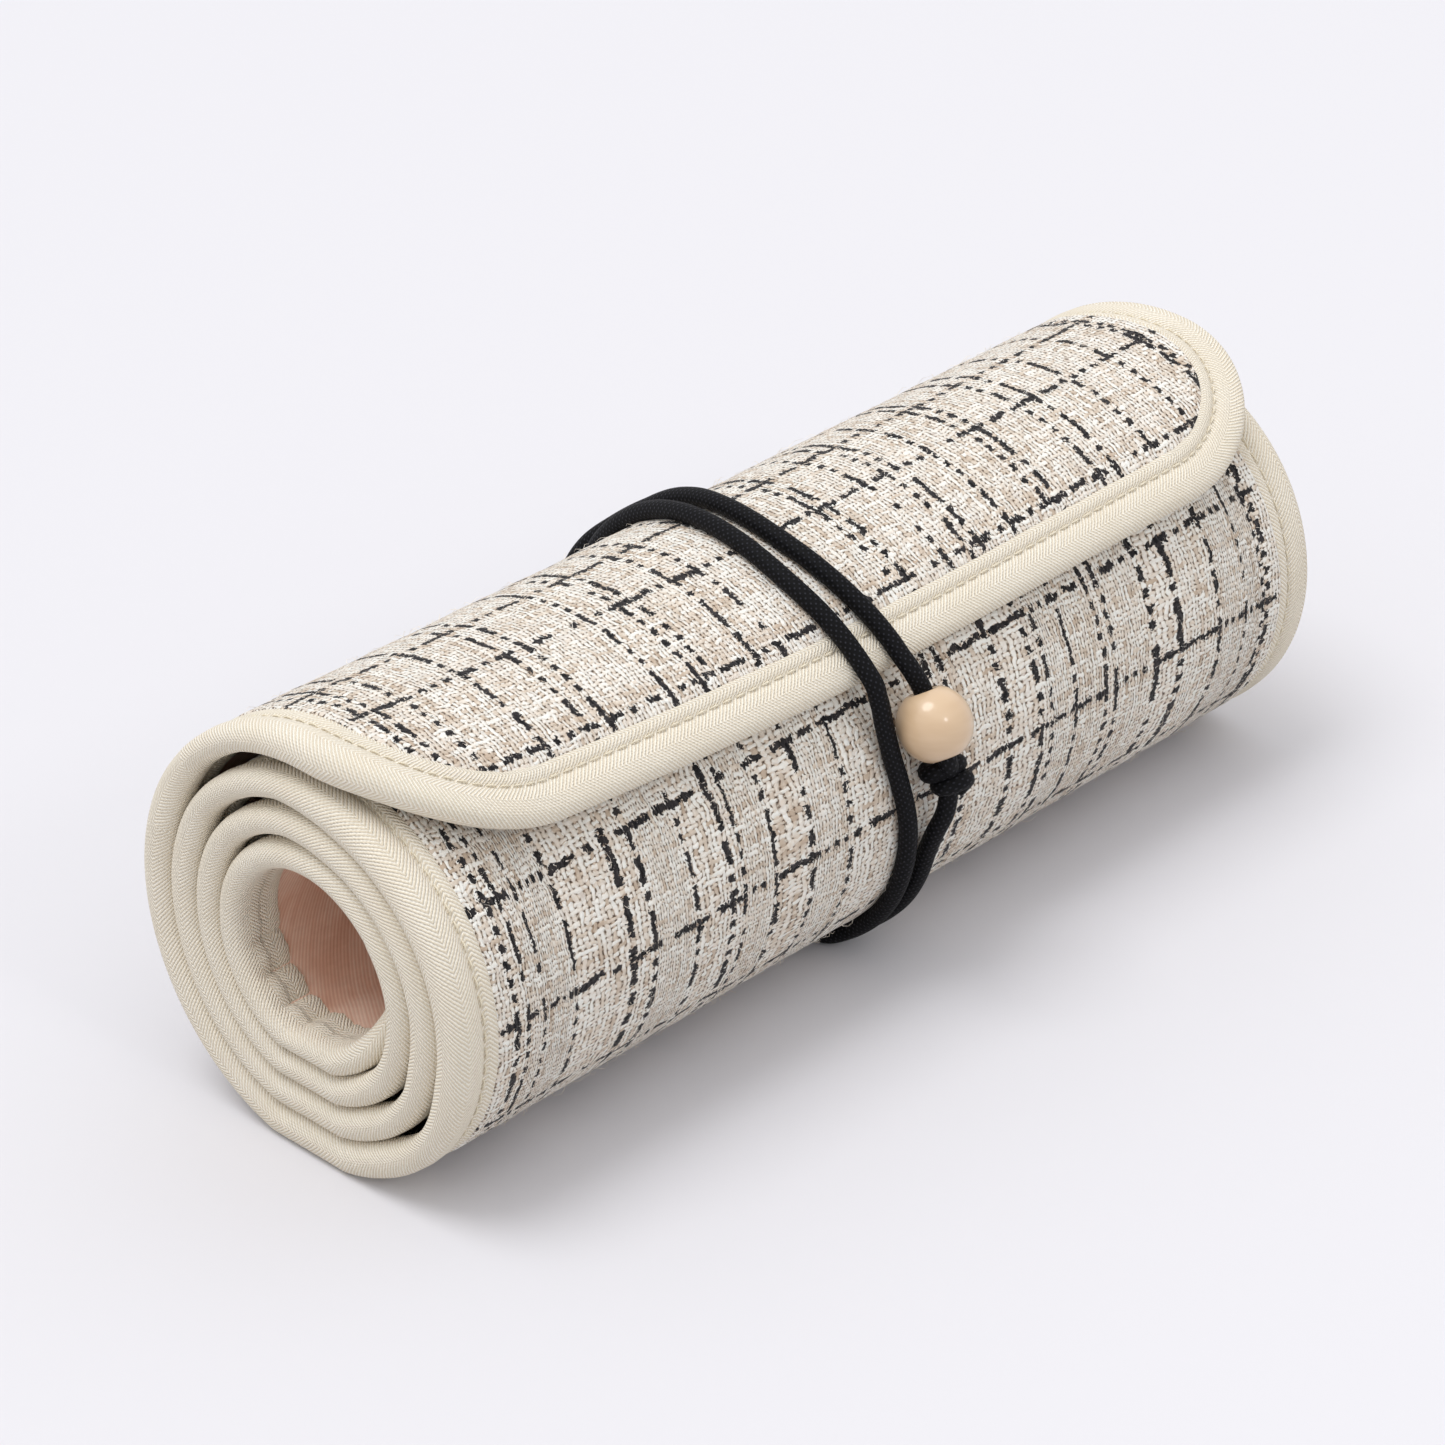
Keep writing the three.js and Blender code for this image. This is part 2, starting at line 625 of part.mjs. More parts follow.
// The cord: a doubled loop that lies on the outer turn, under the roll and over the flap's edge,
// where it steps down to the turn below within a few degrees
function restingRadius(degrees, x) {
  const fromTip = THREE.MathUtils.degToRad(degrees) - tipAngle;
  const turn = THREE.MathUtils.euclideanModulo(fromTip / fullTurn, 1);
  const pastTip = Math.min(fullTurn * (1 - turn) / tipStep, 1);
  const onFlap = tipRadius + liftAt(x, 0);
  const face = THREE.MathUtils.lerp(onFlap, radiusAt(turn) + liftAt(x, turn), pastTip);
  const onRoll = face + clearance + cordRadius;
  const facingDown = -Math.sin(tipAngle + fullTurn * turn);
  return facingDown > 0 ? Math.min(onRoll, (axisHeight - floorGap - cordRadius) / facingDown) : onRoll;
}

function cordPoint([degrees, x, rise]) {
  const radius = restingRadius(degrees, x) + Math.max(rise, 0);
  const angle = THREE.MathUtils.degToRad(degrees);
  return new THREE.Vector3(x, -radius * Math.cos(angle), axisHeight + radius * Math.sin(angle));
}

function tube(curve, diameter, sides, steps) {
  const ring = Array.from({ length: sides }, (_, k) => fullTurn * k / sides);
  const section = ring.map((a) => new THREE.Vector2(Math.cos(a), Math.sin(a)).multiplyScalar(diameter / 2));
  return new THREE.ExtrudeGeometry(new THREE.Shape(section), { steps, extrudePath: curve, bevelEnabled: false });
}

// The least gap between stretches of the cord that lie over a few diameters apart along it
function leastGap(curve, diameter) {
  const samples = curve.getSpacedPoints(gapSamples);
  const step = curve.getLength() / gapSamples;
  const apart = Math.ceil(gapReachShare * diameter / step);
  let least = Infinity;
  for (let i = 0; i < samples.length; i += 1) {
    for (let j = i + apart; j < samples.length; j += 1) {
      const endToEnd = i < apart && j > samples.length - 1 - apart;
      if (!endToEnd) least = Math.min(least, samples[i].distanceTo(samples[j]) - diameter);
    }
  }
  return least;
}

const route = new THREE.CatmullRomCurve3(cordRoute.map((row) => new THREE.Vector3(...row)));
const cordCurve = new THREE.CatmullRomCurve3(
  route.getPoints(routeSteps).map((point) => cordPoint(point.toArray())), false, 'centripetal');

// The knot: the cord's tail wrapped round it where its two ends meet
class KnotCurve extends THREE.Curve {
  constructor(centre, axis) {
    super();
    this.frame = new THREE.Matrix4().lookAt(new THREE.Vector3(), axis, new THREE.Vector3(1, 0, 0));
    this.frame.setPosition(centre);
  }

  getPoint(share, target = new THREE.Vector3()) {
    const radius = cordRadius + knotCordGap + knotCordDiameter / 2;
    const angle = fullTurn * knotWraps * share;
    const rise = knotWraps * knotPitch * (share - 0.5);
    return target.set(radius * Math.cos(angle), radius * Math.sin(angle), rise).applyMatrix4(this.frame);
  }
}

function addTie() {
  const [first, last] = [cordPoint(cordRoute[0]), cordPoint(cordRoute.at(-1))];
  const knotCentre = first.clone().add(last).divideScalar(2);
  const alongKnot = cordPoint(cordRoute.at(-2)).sub(cordPoint(cordRoute[1])).normalize();
  const knotCurve = new KnotCurve(knotCentre, alongKnot);
  add('tie_cord', 'elastic', tube(cordCurve, cordDiameter, cordSides, cordSteps));
  add('tie_knot', 'elastic', tube(knotCurve, knotCordDiameter, cordSides, knotSteps));
  const [before, through, after] = [1, 0, -1].map((step) => cordPoint(cordRoute.at(-beadStepsFromEnd - step)));
  const axis = after.clone().sub(before).normalize();
  const bore = cordRadius + beadBoreClearance;
  const mouth = beadLength / 2;
  const radius = beadDiameter / 2;
  const rim = Math.sqrt(radius * radius - mouth * mouth);
  const arcStart = Math.asin(Math.min(Math.max(rim, bore) / radius, 1));
  const profile = [new THREE.Vector2(bore, -mouth)];
  for (let k = 0; k <= beadArcSteps; k += 1) {
    const angle = arcStart + (Math.PI - 2 * arcStart) * k / beadArcSteps;
    profile.push(new THREE.Vector2(radius * Math.sin(angle), -radius * Math.cos(angle)));
  }
  profile.push(new THREE.Vector2(bore, mouth), new THREE.Vector2(bore, -mouth));
  const bead = new THREE.LatheGeometry(profile, beadSegments);
  const turned = new THREE.Quaternion().setFromUnitVectors(new THREE.Vector3(0, 1, 0), axis);
  bead.applyQuaternion(turned);
  const middle = before.clone().add(after).divideScalar(2).add(through).divideScalar(2);
  add('tie_bead', 'beech', bead.translate(middle.x, middle.y, middle.z));
}

addStretch('flap', flap);
addStretch('rolled', rolled);
addZipPocket('outer_pocket', outerZipShare, outerPocketEndShare);
addEarringPanel();
addZipPocket('inner_pocket', innerZipShare, innerPocketEndShare);
addRingStrap();
addSlipPocket();
addTie();
console.log(`cord length ${cordCurve.getLength().toFixed(1)} mm, least gap to itself `
  + `${leastGap(cordCurve, cordDiameter).toFixed(2)} mm, sheet ${sheetLength.toFixed(1)} mm`);

// The origin is at the middle of the rolled-up organizer's base
const box = new THREE.Box3().setFromObject(roll);
const middle = box.getCenter(new THREE.Vector3());
roll.position.set(-middle.x, -middle.y, -box.min.z);

export default roll;
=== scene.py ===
# A travel jewelry organizer, rolled up and tied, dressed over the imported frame: slubby tweed, a
# herringbone edge tape, satin lining, a braided elastic with its knot, and a lacquered bead.
import json
import math

import bpy
import numpy as np
from mathutils import Euler, Matrix, Vector, noise
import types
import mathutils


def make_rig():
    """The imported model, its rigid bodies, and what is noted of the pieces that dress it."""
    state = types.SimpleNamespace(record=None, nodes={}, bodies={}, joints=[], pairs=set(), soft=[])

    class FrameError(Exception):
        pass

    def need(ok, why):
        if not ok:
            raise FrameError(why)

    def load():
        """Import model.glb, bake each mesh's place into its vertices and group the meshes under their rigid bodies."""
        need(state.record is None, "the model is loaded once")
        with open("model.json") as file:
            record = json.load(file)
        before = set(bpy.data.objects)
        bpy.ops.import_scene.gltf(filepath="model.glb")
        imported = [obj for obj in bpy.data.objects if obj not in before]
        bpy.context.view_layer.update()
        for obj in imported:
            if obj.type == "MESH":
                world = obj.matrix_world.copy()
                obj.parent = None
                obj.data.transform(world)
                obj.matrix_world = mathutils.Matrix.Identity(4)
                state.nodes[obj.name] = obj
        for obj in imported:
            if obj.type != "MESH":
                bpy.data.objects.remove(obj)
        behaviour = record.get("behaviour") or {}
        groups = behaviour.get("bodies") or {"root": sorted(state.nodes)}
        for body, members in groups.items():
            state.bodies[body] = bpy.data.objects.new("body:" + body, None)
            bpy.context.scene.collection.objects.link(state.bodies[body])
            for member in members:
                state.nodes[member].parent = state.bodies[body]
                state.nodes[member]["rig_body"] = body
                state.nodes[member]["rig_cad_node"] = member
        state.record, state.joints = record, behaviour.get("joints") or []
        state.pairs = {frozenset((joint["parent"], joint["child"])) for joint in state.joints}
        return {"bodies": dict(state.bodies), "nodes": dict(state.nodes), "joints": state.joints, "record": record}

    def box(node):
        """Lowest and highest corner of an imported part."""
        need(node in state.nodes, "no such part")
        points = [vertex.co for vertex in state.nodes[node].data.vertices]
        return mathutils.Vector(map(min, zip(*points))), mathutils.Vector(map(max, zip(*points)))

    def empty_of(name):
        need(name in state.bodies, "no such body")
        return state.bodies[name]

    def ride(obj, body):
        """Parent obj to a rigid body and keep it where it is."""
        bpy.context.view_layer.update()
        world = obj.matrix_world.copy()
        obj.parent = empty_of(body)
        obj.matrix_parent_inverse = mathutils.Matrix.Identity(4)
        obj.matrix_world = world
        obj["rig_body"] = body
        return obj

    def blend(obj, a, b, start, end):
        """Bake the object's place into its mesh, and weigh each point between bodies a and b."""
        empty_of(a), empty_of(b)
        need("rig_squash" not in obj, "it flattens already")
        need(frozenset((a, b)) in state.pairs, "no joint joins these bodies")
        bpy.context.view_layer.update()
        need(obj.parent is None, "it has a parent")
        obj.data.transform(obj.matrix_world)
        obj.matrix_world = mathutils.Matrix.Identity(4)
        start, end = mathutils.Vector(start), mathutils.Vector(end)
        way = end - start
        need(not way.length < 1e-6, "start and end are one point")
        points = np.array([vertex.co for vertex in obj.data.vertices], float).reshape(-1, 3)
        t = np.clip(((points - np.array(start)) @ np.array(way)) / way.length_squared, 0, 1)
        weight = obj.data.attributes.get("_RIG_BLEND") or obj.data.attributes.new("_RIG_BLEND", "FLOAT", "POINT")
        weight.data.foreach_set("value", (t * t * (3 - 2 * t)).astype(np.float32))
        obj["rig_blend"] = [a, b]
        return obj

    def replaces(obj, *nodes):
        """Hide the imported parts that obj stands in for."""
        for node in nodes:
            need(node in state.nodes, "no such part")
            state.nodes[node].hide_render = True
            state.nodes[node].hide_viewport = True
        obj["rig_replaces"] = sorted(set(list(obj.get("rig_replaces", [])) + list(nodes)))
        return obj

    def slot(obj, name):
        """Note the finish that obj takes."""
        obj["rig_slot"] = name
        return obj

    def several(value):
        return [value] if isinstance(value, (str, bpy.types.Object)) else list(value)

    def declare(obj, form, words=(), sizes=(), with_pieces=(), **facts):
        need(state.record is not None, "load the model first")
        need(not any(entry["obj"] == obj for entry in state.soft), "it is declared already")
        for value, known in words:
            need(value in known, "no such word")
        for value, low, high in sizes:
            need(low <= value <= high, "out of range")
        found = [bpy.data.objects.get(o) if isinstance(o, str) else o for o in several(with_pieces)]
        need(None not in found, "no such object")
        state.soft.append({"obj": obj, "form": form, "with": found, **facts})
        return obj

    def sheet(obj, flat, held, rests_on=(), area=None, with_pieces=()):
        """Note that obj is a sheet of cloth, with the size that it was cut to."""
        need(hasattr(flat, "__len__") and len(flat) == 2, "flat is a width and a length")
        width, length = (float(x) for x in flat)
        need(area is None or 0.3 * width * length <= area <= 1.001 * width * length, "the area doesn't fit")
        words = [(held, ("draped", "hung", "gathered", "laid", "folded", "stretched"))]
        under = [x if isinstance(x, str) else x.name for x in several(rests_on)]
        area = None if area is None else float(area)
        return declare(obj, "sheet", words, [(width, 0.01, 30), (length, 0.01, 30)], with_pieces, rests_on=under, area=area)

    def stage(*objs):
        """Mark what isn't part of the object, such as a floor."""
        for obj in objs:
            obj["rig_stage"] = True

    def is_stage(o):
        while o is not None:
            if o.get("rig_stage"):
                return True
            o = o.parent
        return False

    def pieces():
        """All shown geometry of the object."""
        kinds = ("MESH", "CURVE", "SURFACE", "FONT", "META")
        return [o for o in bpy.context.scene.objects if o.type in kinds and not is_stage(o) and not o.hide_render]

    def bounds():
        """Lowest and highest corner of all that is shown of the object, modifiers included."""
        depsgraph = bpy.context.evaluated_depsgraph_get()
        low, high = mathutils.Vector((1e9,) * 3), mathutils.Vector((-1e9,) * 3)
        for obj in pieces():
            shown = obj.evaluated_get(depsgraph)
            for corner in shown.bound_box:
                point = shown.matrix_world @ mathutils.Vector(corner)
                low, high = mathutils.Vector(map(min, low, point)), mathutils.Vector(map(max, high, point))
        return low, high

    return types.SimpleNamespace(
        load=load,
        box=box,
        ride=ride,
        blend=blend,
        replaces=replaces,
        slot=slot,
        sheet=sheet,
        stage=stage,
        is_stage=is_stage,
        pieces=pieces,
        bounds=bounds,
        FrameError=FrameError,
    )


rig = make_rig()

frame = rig.load()
cad_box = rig.bounds()
scene = bpy.context.scene

# Lengths are in millimetres until a mesh is made
MM = 0.001

# The rolled sheet, as the solids have it
SHEET_WIDTH = 195
TIP_RADIUS = 38.2
OUTER_PITCH = 6.6
INNER_PITCH = 4.6
CORNER_RADIUS = 28
WHOLE_TURNS = 4
TIP_ANGLE = math.radians(38)
HINGE_TURN = 0.3
CLEARANCE = 0.3
FLAT_DEPTH = 0.9
FLAT_FROM = 0.2
EDGE_THICKNESS = 4.2
TAPE_WIDTH = 9
TWEED_THICKNESS = 1.3
WADDING_TOP = 1.6
WADDING_BASE = 2.3
LINING_TOP = 2.6
LINING_BASE = 2.85
POCKET_STANDOFF = 0.35
POCKET_THICKNESS = 0.25
SQUEEZE_SHARE = 0.35
TIE_PRESS = 1.2
NEAR_LIFT = 2.6
FAR_LIFT = 1.4
NEAR_DRAW = 5.2
FAR_DRAW = 0.9
DRAW_FROM = 9
DRAW_BOW = 1.3
FLOOR_CLEAR = 0.02
HALF = SHEET_WIDTH / 2

# The dent that the cord lies in under the roll
CORD_RADIUS = 1.5
FLOOR_GAP = 0.15
DENT_HEIGHT = 2 * CORD_RADIUS + CLEARANCE + FLOOR_GAP
DENT_FULL = 4
DENT_FADE = 5.4
DENT_X = -2.8
DENT_SLANT = 4.4

FULL_TURN = 2 * math.pi
TURN_TRIES = 12
NOISE_OFFSET = (17.3, 5.1, 9.7)
BOTTOM_TURN = (1.5 * math.pi - TIP_ANGLE) / FULL_TURN
PITCH_LOSS = (OUTER_PITCH - INNER_PITCH) / (2 * WHOLE_TURNS)


def radius_at(turn):
    return TIP_RADIUS - OUTER_PITCH * turn + PITCH_LOSS * turn * turn


def length_at(turn):
    middle = TIP_RADIUS - EDGE_THICKNESS / 2
    return FULL_TURN * turn * (middle - OUTER_PITCH * turn / 2 + PITCH_LOSS * turn * turn / 3)


def turn_at(length):
    turn = length / (FULL_TURN * TIP_RADIUS)
    for _ in range(TURN_TRIES):
        once_round = FULL_TURN * (radius_at(turn) - EDGE_THICKNESS / 2)
        turn = turn + (length - length_at(turn)) / once_round
    return turn


SHEET_LENGTH = length_at(WHOLE_TURNS)
HINGE_AT = length_at(HINGE_TURN)
AXIS_HEIGHT = radius_at(BOTTOM_TURN) - FLAT_DEPTH

# The flap's hinge stands just over the outer face, which places the roll's axis in the frame
hinge = next(joint for joint in frame["joints"] if joint["name"] == "flap_open")
hinge_reach = radius_at(HINGE_TURN) + CLEARANCE
hinge_angle = TIP_ANGLE + FULL_TURN * HINGE_TURN
AXIS_Y = hinge["pos_m"][1] / MM + hinge_reach * math.cos(hinge_angle)


def smooth(share):
    share = np.clip(share, 0, 1)
    return share * share * (3 - 2 * share)


def lift_at(x, turn):
    side = np.where(x < 0, NEAR_LIFT, FAR_LIFT)
    across = 2 * x / SHEET_WIDTH
    towards_tip = 1 - np.maximum(turn, 0) / HINGE_TURN
    lift = ((side + TIE_PRESS) * across * across - TIE_PRESS) * smooth(towards_tip)
    return np.where(turn < HINGE_TURN, lift, 0)


def draw_at(x, turn):
    """How far the flap has drawn back from the solid's, more at the near end."""
    out = np.clip((np.abs(x) - DRAW_FROM) / (HALF - DRAW_FROM), 0, 1) ** DRAW_BOW
    side = np.where(x < 0, NEAR_DRAW, FAR_DRAW)
    return side * out * np.clip(1 - turn / HINGE_TURN, 0, 1)


def pressed(radius, level, down):
    """A radius that ends at a level below the axis, where it points down."""
    points_down = down > FLAT_FROM
    cut = np.minimum(radius, level / np.where(points_down, down, 1))
    return np.where(points_down, cut, radius)


def sheet(x, length, depth):
    """Points of the rolled sheet, in millimetres: x across it, a length along it from the
    flap's tip, and a depth below its outer face."""
    x, length, depth = np.broadcast_arrays(x, length, depth)
    turn = turn_at(length)
    angle = TIP_ANGLE + FULL_TURN * turn + draw_at(x, turn) / TIP_RADIUS
    lap = np.round(turn - BOTTOM_TURN)
    from_bottom = FULL_TURN * (turn - BOTTOM_TURN - lap)
    down = np.cos(from_bottom)
    floor = radius_at(BOTTOM_TURN + lap) - FLAT_DEPTH
    flat = pressed(radius_at(turn) + lift_at(x, turn), floor, down)
    out = np.abs(x - DENT_X - DENT_SLANT * from_bottom) - DENT_FULL
    dent = DENT_HEIGHT * (1 - smooth(out / DENT_FADE))
    dented = np.where(lap == 0, pressed(flat, floor - dent, down), flat)
    thinning = 1 - SQUEEZE_SHARE * (flat - dented) / LINING_BASE
    radius = dented - depth * thinning
    y = AXIS_Y - radius * np.cos(angle)
    z = np.maximum(AXIS_HEIGHT + radius * np.sin(angle), FLOOR_CLEAR)
    return np.stack([x, y, z], axis=-1)


def from_end(length):
    """The distance from the sheet's nearer end."""
    return np.minimum(length, SHEET_LENGTH - length)


def half_width(distance, inset):
    """Half the width of the sheet at a distance from its end, an inset inside its edge."""
    radius = CORNER_RADIUS - inset
    up = CORNER_RADIUS - distance
    straight = HALF - inset
    curved = straight - radius + np.sqrt(np.maximum(radius * radius - up * up, 0))
    return np.where(up > 0, curved, straight)


def inside_edge(x, length):
    """How far a point lies inside the sheet's round-cornered edge."""
    side = HALF - np.abs(x)
    end = from_end(length)
    corner = np.hypot(CORNER_RADIUS - side, CORNER_RADIUS - end)
    both = (side < CORNER_RADIUS) & (end < CORNER_RADIUS)
    return np.where(both, CORNER_RADIUS - corner, np.minimum(side, end))


def bumps(x, length, size, seed):
    """Smooth noise from -1 to 1 over the flat sheet."""
    offset = Vector([seed * part for part in NOISE_OFFSET])
    places = zip(x.ravel(), length.ravel())
    values = [noise.noise(Vector((u, v, 0)) / size + offset) for u, v in places]
    return np.array(values).reshape(x.shape)


def unit(vectors):
    return vectors / np.linalg.norm(vectors, axis=-1, keepdims=True)


def run_along(points):
    """The distance run along a line of points, at each of them."""
    return np.concatenate([[0], np.cumsum(np.linalg.norm(np.diff(points, axis=0), axis=1))])


# Meshes, with the angle in degrees from which an edge stays sharp
SHARP = 60


def add_object(name, data, **settings):
    for key, value in settings.items():
        setattr(data, key, value)
    made = bpy.data.objects.new(name, data)
    scene.collection.objects.link(made)
    return made


def make_mesh(name, points, faces, uv, material, sharp=SHARP):
    """A smooth mesh from points in millimetres; uv holds a pair for each point."""
    mesh = bpy.data.meshes.new(name)
    mesh.from_pydata((points * MM).tolist(), [], faces)
    layer = mesh.uv_layers.new(name="cloth")
    corners = np.zeros(len(mesh.loops), int)
    mesh.loops.foreach_get("vertex_index", corners)
    layer.data.foreach_set("uv", uv[corners].astype(float).ravel())
    mesh.validate()
    mesh.shade_smooth()
    mesh.set_sharp_from_angle(angle=math.radians(sharp))
    mesh.materials.append(material)
    return add_object(name, mesh)


def slab(name, top, base, uv, material):
    """A closed sheet between two grids of points that share their plan."""
    count = top[..., 0].size
    index = np.arange(count).reshape(top.shape[:2])
    quads = [index[:-1, :-1], index[:-1, 1:], index[1:, 1:], index[1:, :-1]]
    grid = np.stack(quads, axis=-1).reshape(-1, 4)
    rim = np.concatenate([index[0], index[1:, -1], index[-1, -2::-1], index[-2::-1, 0]])
    a, b = rim[:-1], rim[1:]
    sides = np.stack([b, a, a + count, b + count], axis=-1)
    faces = np.concatenate([grid, count + grid[:, ::-1], sides]).tolist()
    points = np.concatenate([top, base]).reshape(-1, 3)
    return make_mesh(name, points, faces, np.concatenate([uv, uv]).reshape(-1, 2), material)


def lofts(name, rings, uv, material, sharp=SHARP, closed=False):
    """Tubes through closed rings of points, all in one mesh. Each is capped at its ends, unless
    it closes on itself."""
    tubes, count, around = rings.shape[:3]
    index = np.arange(count * around).reshape(count, around)
    right = np.roll(index, -1, axis=1)
    quads = np.stack([index, right, np.roll(right, -1, axis=0), np.roll(index, -1, axis=0)], axis=-1)
    sides = (quads if closed else quads[:-1]).reshape(-1, 4)
    caps = [] if closed else [index[0, ::-1], index[-1]]
    faces = []
    for first in index.size * np.arange(tubes):
        faces += (first + sides).tolist() + [(first + cap).tolist() for cap in caps]
    return make_mesh(name, rings.reshape(-1, 3), faces, uv.reshape(-1, 2), material, sharp)


def strands(name, paths, run, side, up, radii, sides, wrap, material, sharp=SHARP):
    """Round strands along paths. The uv counts the run along them, and wrap once around."""
    share = np.arange(sides) / sides
    angles = FULL_TURN * share[:, None]
    ring = np.cos(angles) * side[..., None, :] + np.sin(angles) * up[..., None, :]
    rings = paths[..., None, :] + radii[..., None, None] * ring
    uv = np.stack(np.broadcast_arrays(run[..., None], wrap * share), axis=-1)
    return lofts(name, rings, uv, material, sharp)


# Materials
def math_node(operation, swapped=False):
    """A method of Value that makes a math node of the value and at most one other."""
    def make(self, other=0.0):
        pair = (other, self) if swapped else (self, other)
        return self.graph.math(operation, *pair)
    return make


class Value:
    """A number that nodes work out. A sum written with it makes the nodes of that sum."""

    def __init__(self, graph, socket):
        self.graph = graph
        self.socket = socket

    __add__ = math_node("ADD")
    __sub__ = math_node("SUBTRACT")
    __rsub__ = math_node("SUBTRACT", swapped=True)
    __mul__ = math_node("MULTIPLY")
    __truediv__ = math_node("DIVIDE")
    __mod__ = math_node("FLOORED_MODULO")
    __pow__ = math_node("POWER")
    __abs__ = math_node("ABSOLUTE")
    __lt__ = math_node("LESS_THAN")
    __gt__ = math_node("GREATER_THAN")
    floor = math_node("FLOOR")
    fract = math_node("FRACT")
    sine = math_node("SINE")


class Graph:
    """The nodes of a material or a world, with short calls for the usual ones."""

    def __init__(self, owner):
        owner.use_nodes = True
        self.tree = owner.node_tree

    def put(self, socket, value):
        value = getattr(value, "socket", value)
        if isinstance(value, bpy.types.NodeSocket):
            self.tree.links.new(value, socket)
        elif socket.type == "RGBA":
            socket.default_value = (*value, 1.0)
        else:
            socket.default_value = value

    def node(self, kind, inputs=(), **settings):
        made = self.tree.nodes.new(f"ShaderNode{kind}")
        for key, value in settings.items():
            setattr(made, key, value)
        for key, value in dict(inputs).items():
            self.put(made.inputs[key], value)
        return made

    def math(self, operation, *values):
        made = self.node("Math", enumerate(values), operation=operation)
        return Value(self, made.outputs[0])

    def mix(self, factor, first, second, blend="MIX"):
        made = self.node("Mix", data_type="RGBA", blend_type=blend)
        for key, value in (("Factor", factor), ("A", first), ("B", second)):
            self.put(made.inputs[key], value)
        return made.outputs["Result"]

    def seen(self):
        """1 where the camera looks at the surface, also through gloss or glass, and else 0."""
        rays = self.node("LightPath").outputs
        seen = self.math("MAXIMUM", rays["Is Camera Ray"], rays["Is Glossy Ray"])
        return self.math("MAXIMUM", seen, rays["Is Transmission Ray"])


class Finish(Graph):
    """A material with its shader, and the calls that make a surface."""

    def __init__(self, name, roughness, specular=0.5, metallic=0.0, sheen=0.0, coat=0.0):
        self.material = bpy.data.materials.new(name)
        super().__init__(self.material)
        self.shader = self.tree.nodes["Principled BSDF"].inputs
        settings = {"Roughness": roughness, "Specular IOR Level": specular, "Metallic": metallic,
                    "Sheen Weight": sheen, "Coat Weight": coat, "Coat Roughness": COAT_ROUGHNESS}
        for key, value in settings.items():
            self.shader[key].default_value = value

    def cloth(self):
        """The cloth's own two coordinates, in millimetres."""
        uv = self.node("UVMap", uv_map="cloth").outputs[0]
        parts = self.node("SeparateXYZ", {"Vector": uv}).outputs
        return [Value(self, part) for part in parts[:2]]

    def solid(self, stretch=(1, 1, 1)):
        """The solid's own place in metres, stretched along each axis."""
        where = self.node("TexCoord").outputs["Object"]
        return self.node("Mapping", {"Vector": where, "Scale": stretch}).outputs[0]

    def place(self, first, second, third=0.0):
        parts = {"X": first, "Y": second, "Z": third}
        return self.node("CombineXYZ", parts).outputs[0]

    def cloud(self, vector, scale, detail=2.0):
        inputs = {"Vector": vector, "Scale": scale, "Detail": detail}
        return Value(self, self.node("TexNoise", inputs).outputs["Fac"])

    def chance(self, *place):
        """A number from 0 to 1, with no pattern to it, for each place."""
        where = {"Vector": self.place(*place)}
        return Value(self, self.node("TexWhiteNoise", where).outputs["Value"])

    def wave(self, value, pitch):
        """A wave from 0 to 1 along a length."""
        return (value * (FULL_TURN / pitch)).sine() * 0.5 + 0.5

    def ramp(self, factor, *stops):
        made = self.node("ValToRGB", {"Fac": factor})
        elements = made.color_ramp.elements
        while len(elements) < len(stops):
            elements.new(1.0)
        for element, (place, colour) in zip(elements, stops):
            element.position = place
            element.color = (*colour, 1.0)
        return made.outputs["Color"]

    def dyed(self, colour, height=None, distance=0.0, strength=1.0):
        """The material, with its colour and its relief in millimetres."""
        self.put(self.shader["Base Color"], colour)
        if height:
            inputs = {"Height": height, "Distance": distance * MM, "Strength": strength}
            self.put(self.shader["Normal"], self.node("Bump", inputs).outputs[0])
        return self.material


def rgb(red, green, blue):
    """A colour as seen on a screen, from 0 to 255, made linear for the shader."""
    def linear(value):
        share = value / 255
        return share / 12.92 if share <= 0.04045 else ((share + 0.055) / 1.055) ** 2.4
    return tuple(linear(value) for value in (red, green, blue))


COAT_ROUGHNESS = 0.14

# The widths and pitches of yarns, ribs and braid
YARN = 1.25
FINE_YARN = 0.78
FINE_SHIVER = 0.22
RUNG = 0.85
CHEVRON = 4.6
TAPE_RIB = 0.72
TAPE_YARN = 0.42
SATIN_RIB = 0.7
ZIP_TOOTH = 0.7
ZIP_RIB = 0.5
THREAD_PLY = 0.35
BRAID = 1.1

# The black yarns: places along the roll as they lie on the flap and on the rolled front, and
# places along the sheet from the flap's tip
BLACK_WARPS_FLAP = [
    -85.5, -83.3, -78, -66.8, -57.8, -54, -42, -35.6, -33.4, -24, -19.8, -9, 7.2, 9.4,
    18, 23.1, 25.3, 33, 42.4, 44.6, 54, 58.5, 66.8, 77.3, 84, 86.2,
]
BLACK_WARPS_FRONT = [
    -85.5, -83.3, -80, -74, -61.5, -57, -48.8, -40.8, -38.6, -31.5, -24, -15, 8, 10.2,
    21, 29, 31.2, 37, 45, 47.2, 56, 63.8, 73, 80, 83.6, 85.8,
]
BLACK_WEFT_FIRST = [10.4, 28.5, 40, 57.5, 75, 93, 95.2, 111, 129, 147, 168.5, 186.6, 204]
BLACK_WEFT_STEP = 17.6
FRONT_LENGTH = 165


def tweed_place(x, length):
    """Where a point of the tweed lies among its warp yarns, which drift along the cloth."""
    drift = smooth((length - HINGE_AT) / (FRONT_LENGTH - HINGE_AT))
    moved = np.interp(x, BLACK_WARPS_FRONT, BLACK_WARPS_FLAP) - x
    return x + moved * drift * (np.abs(x) <= max(BLACK_WARPS_FRONT))


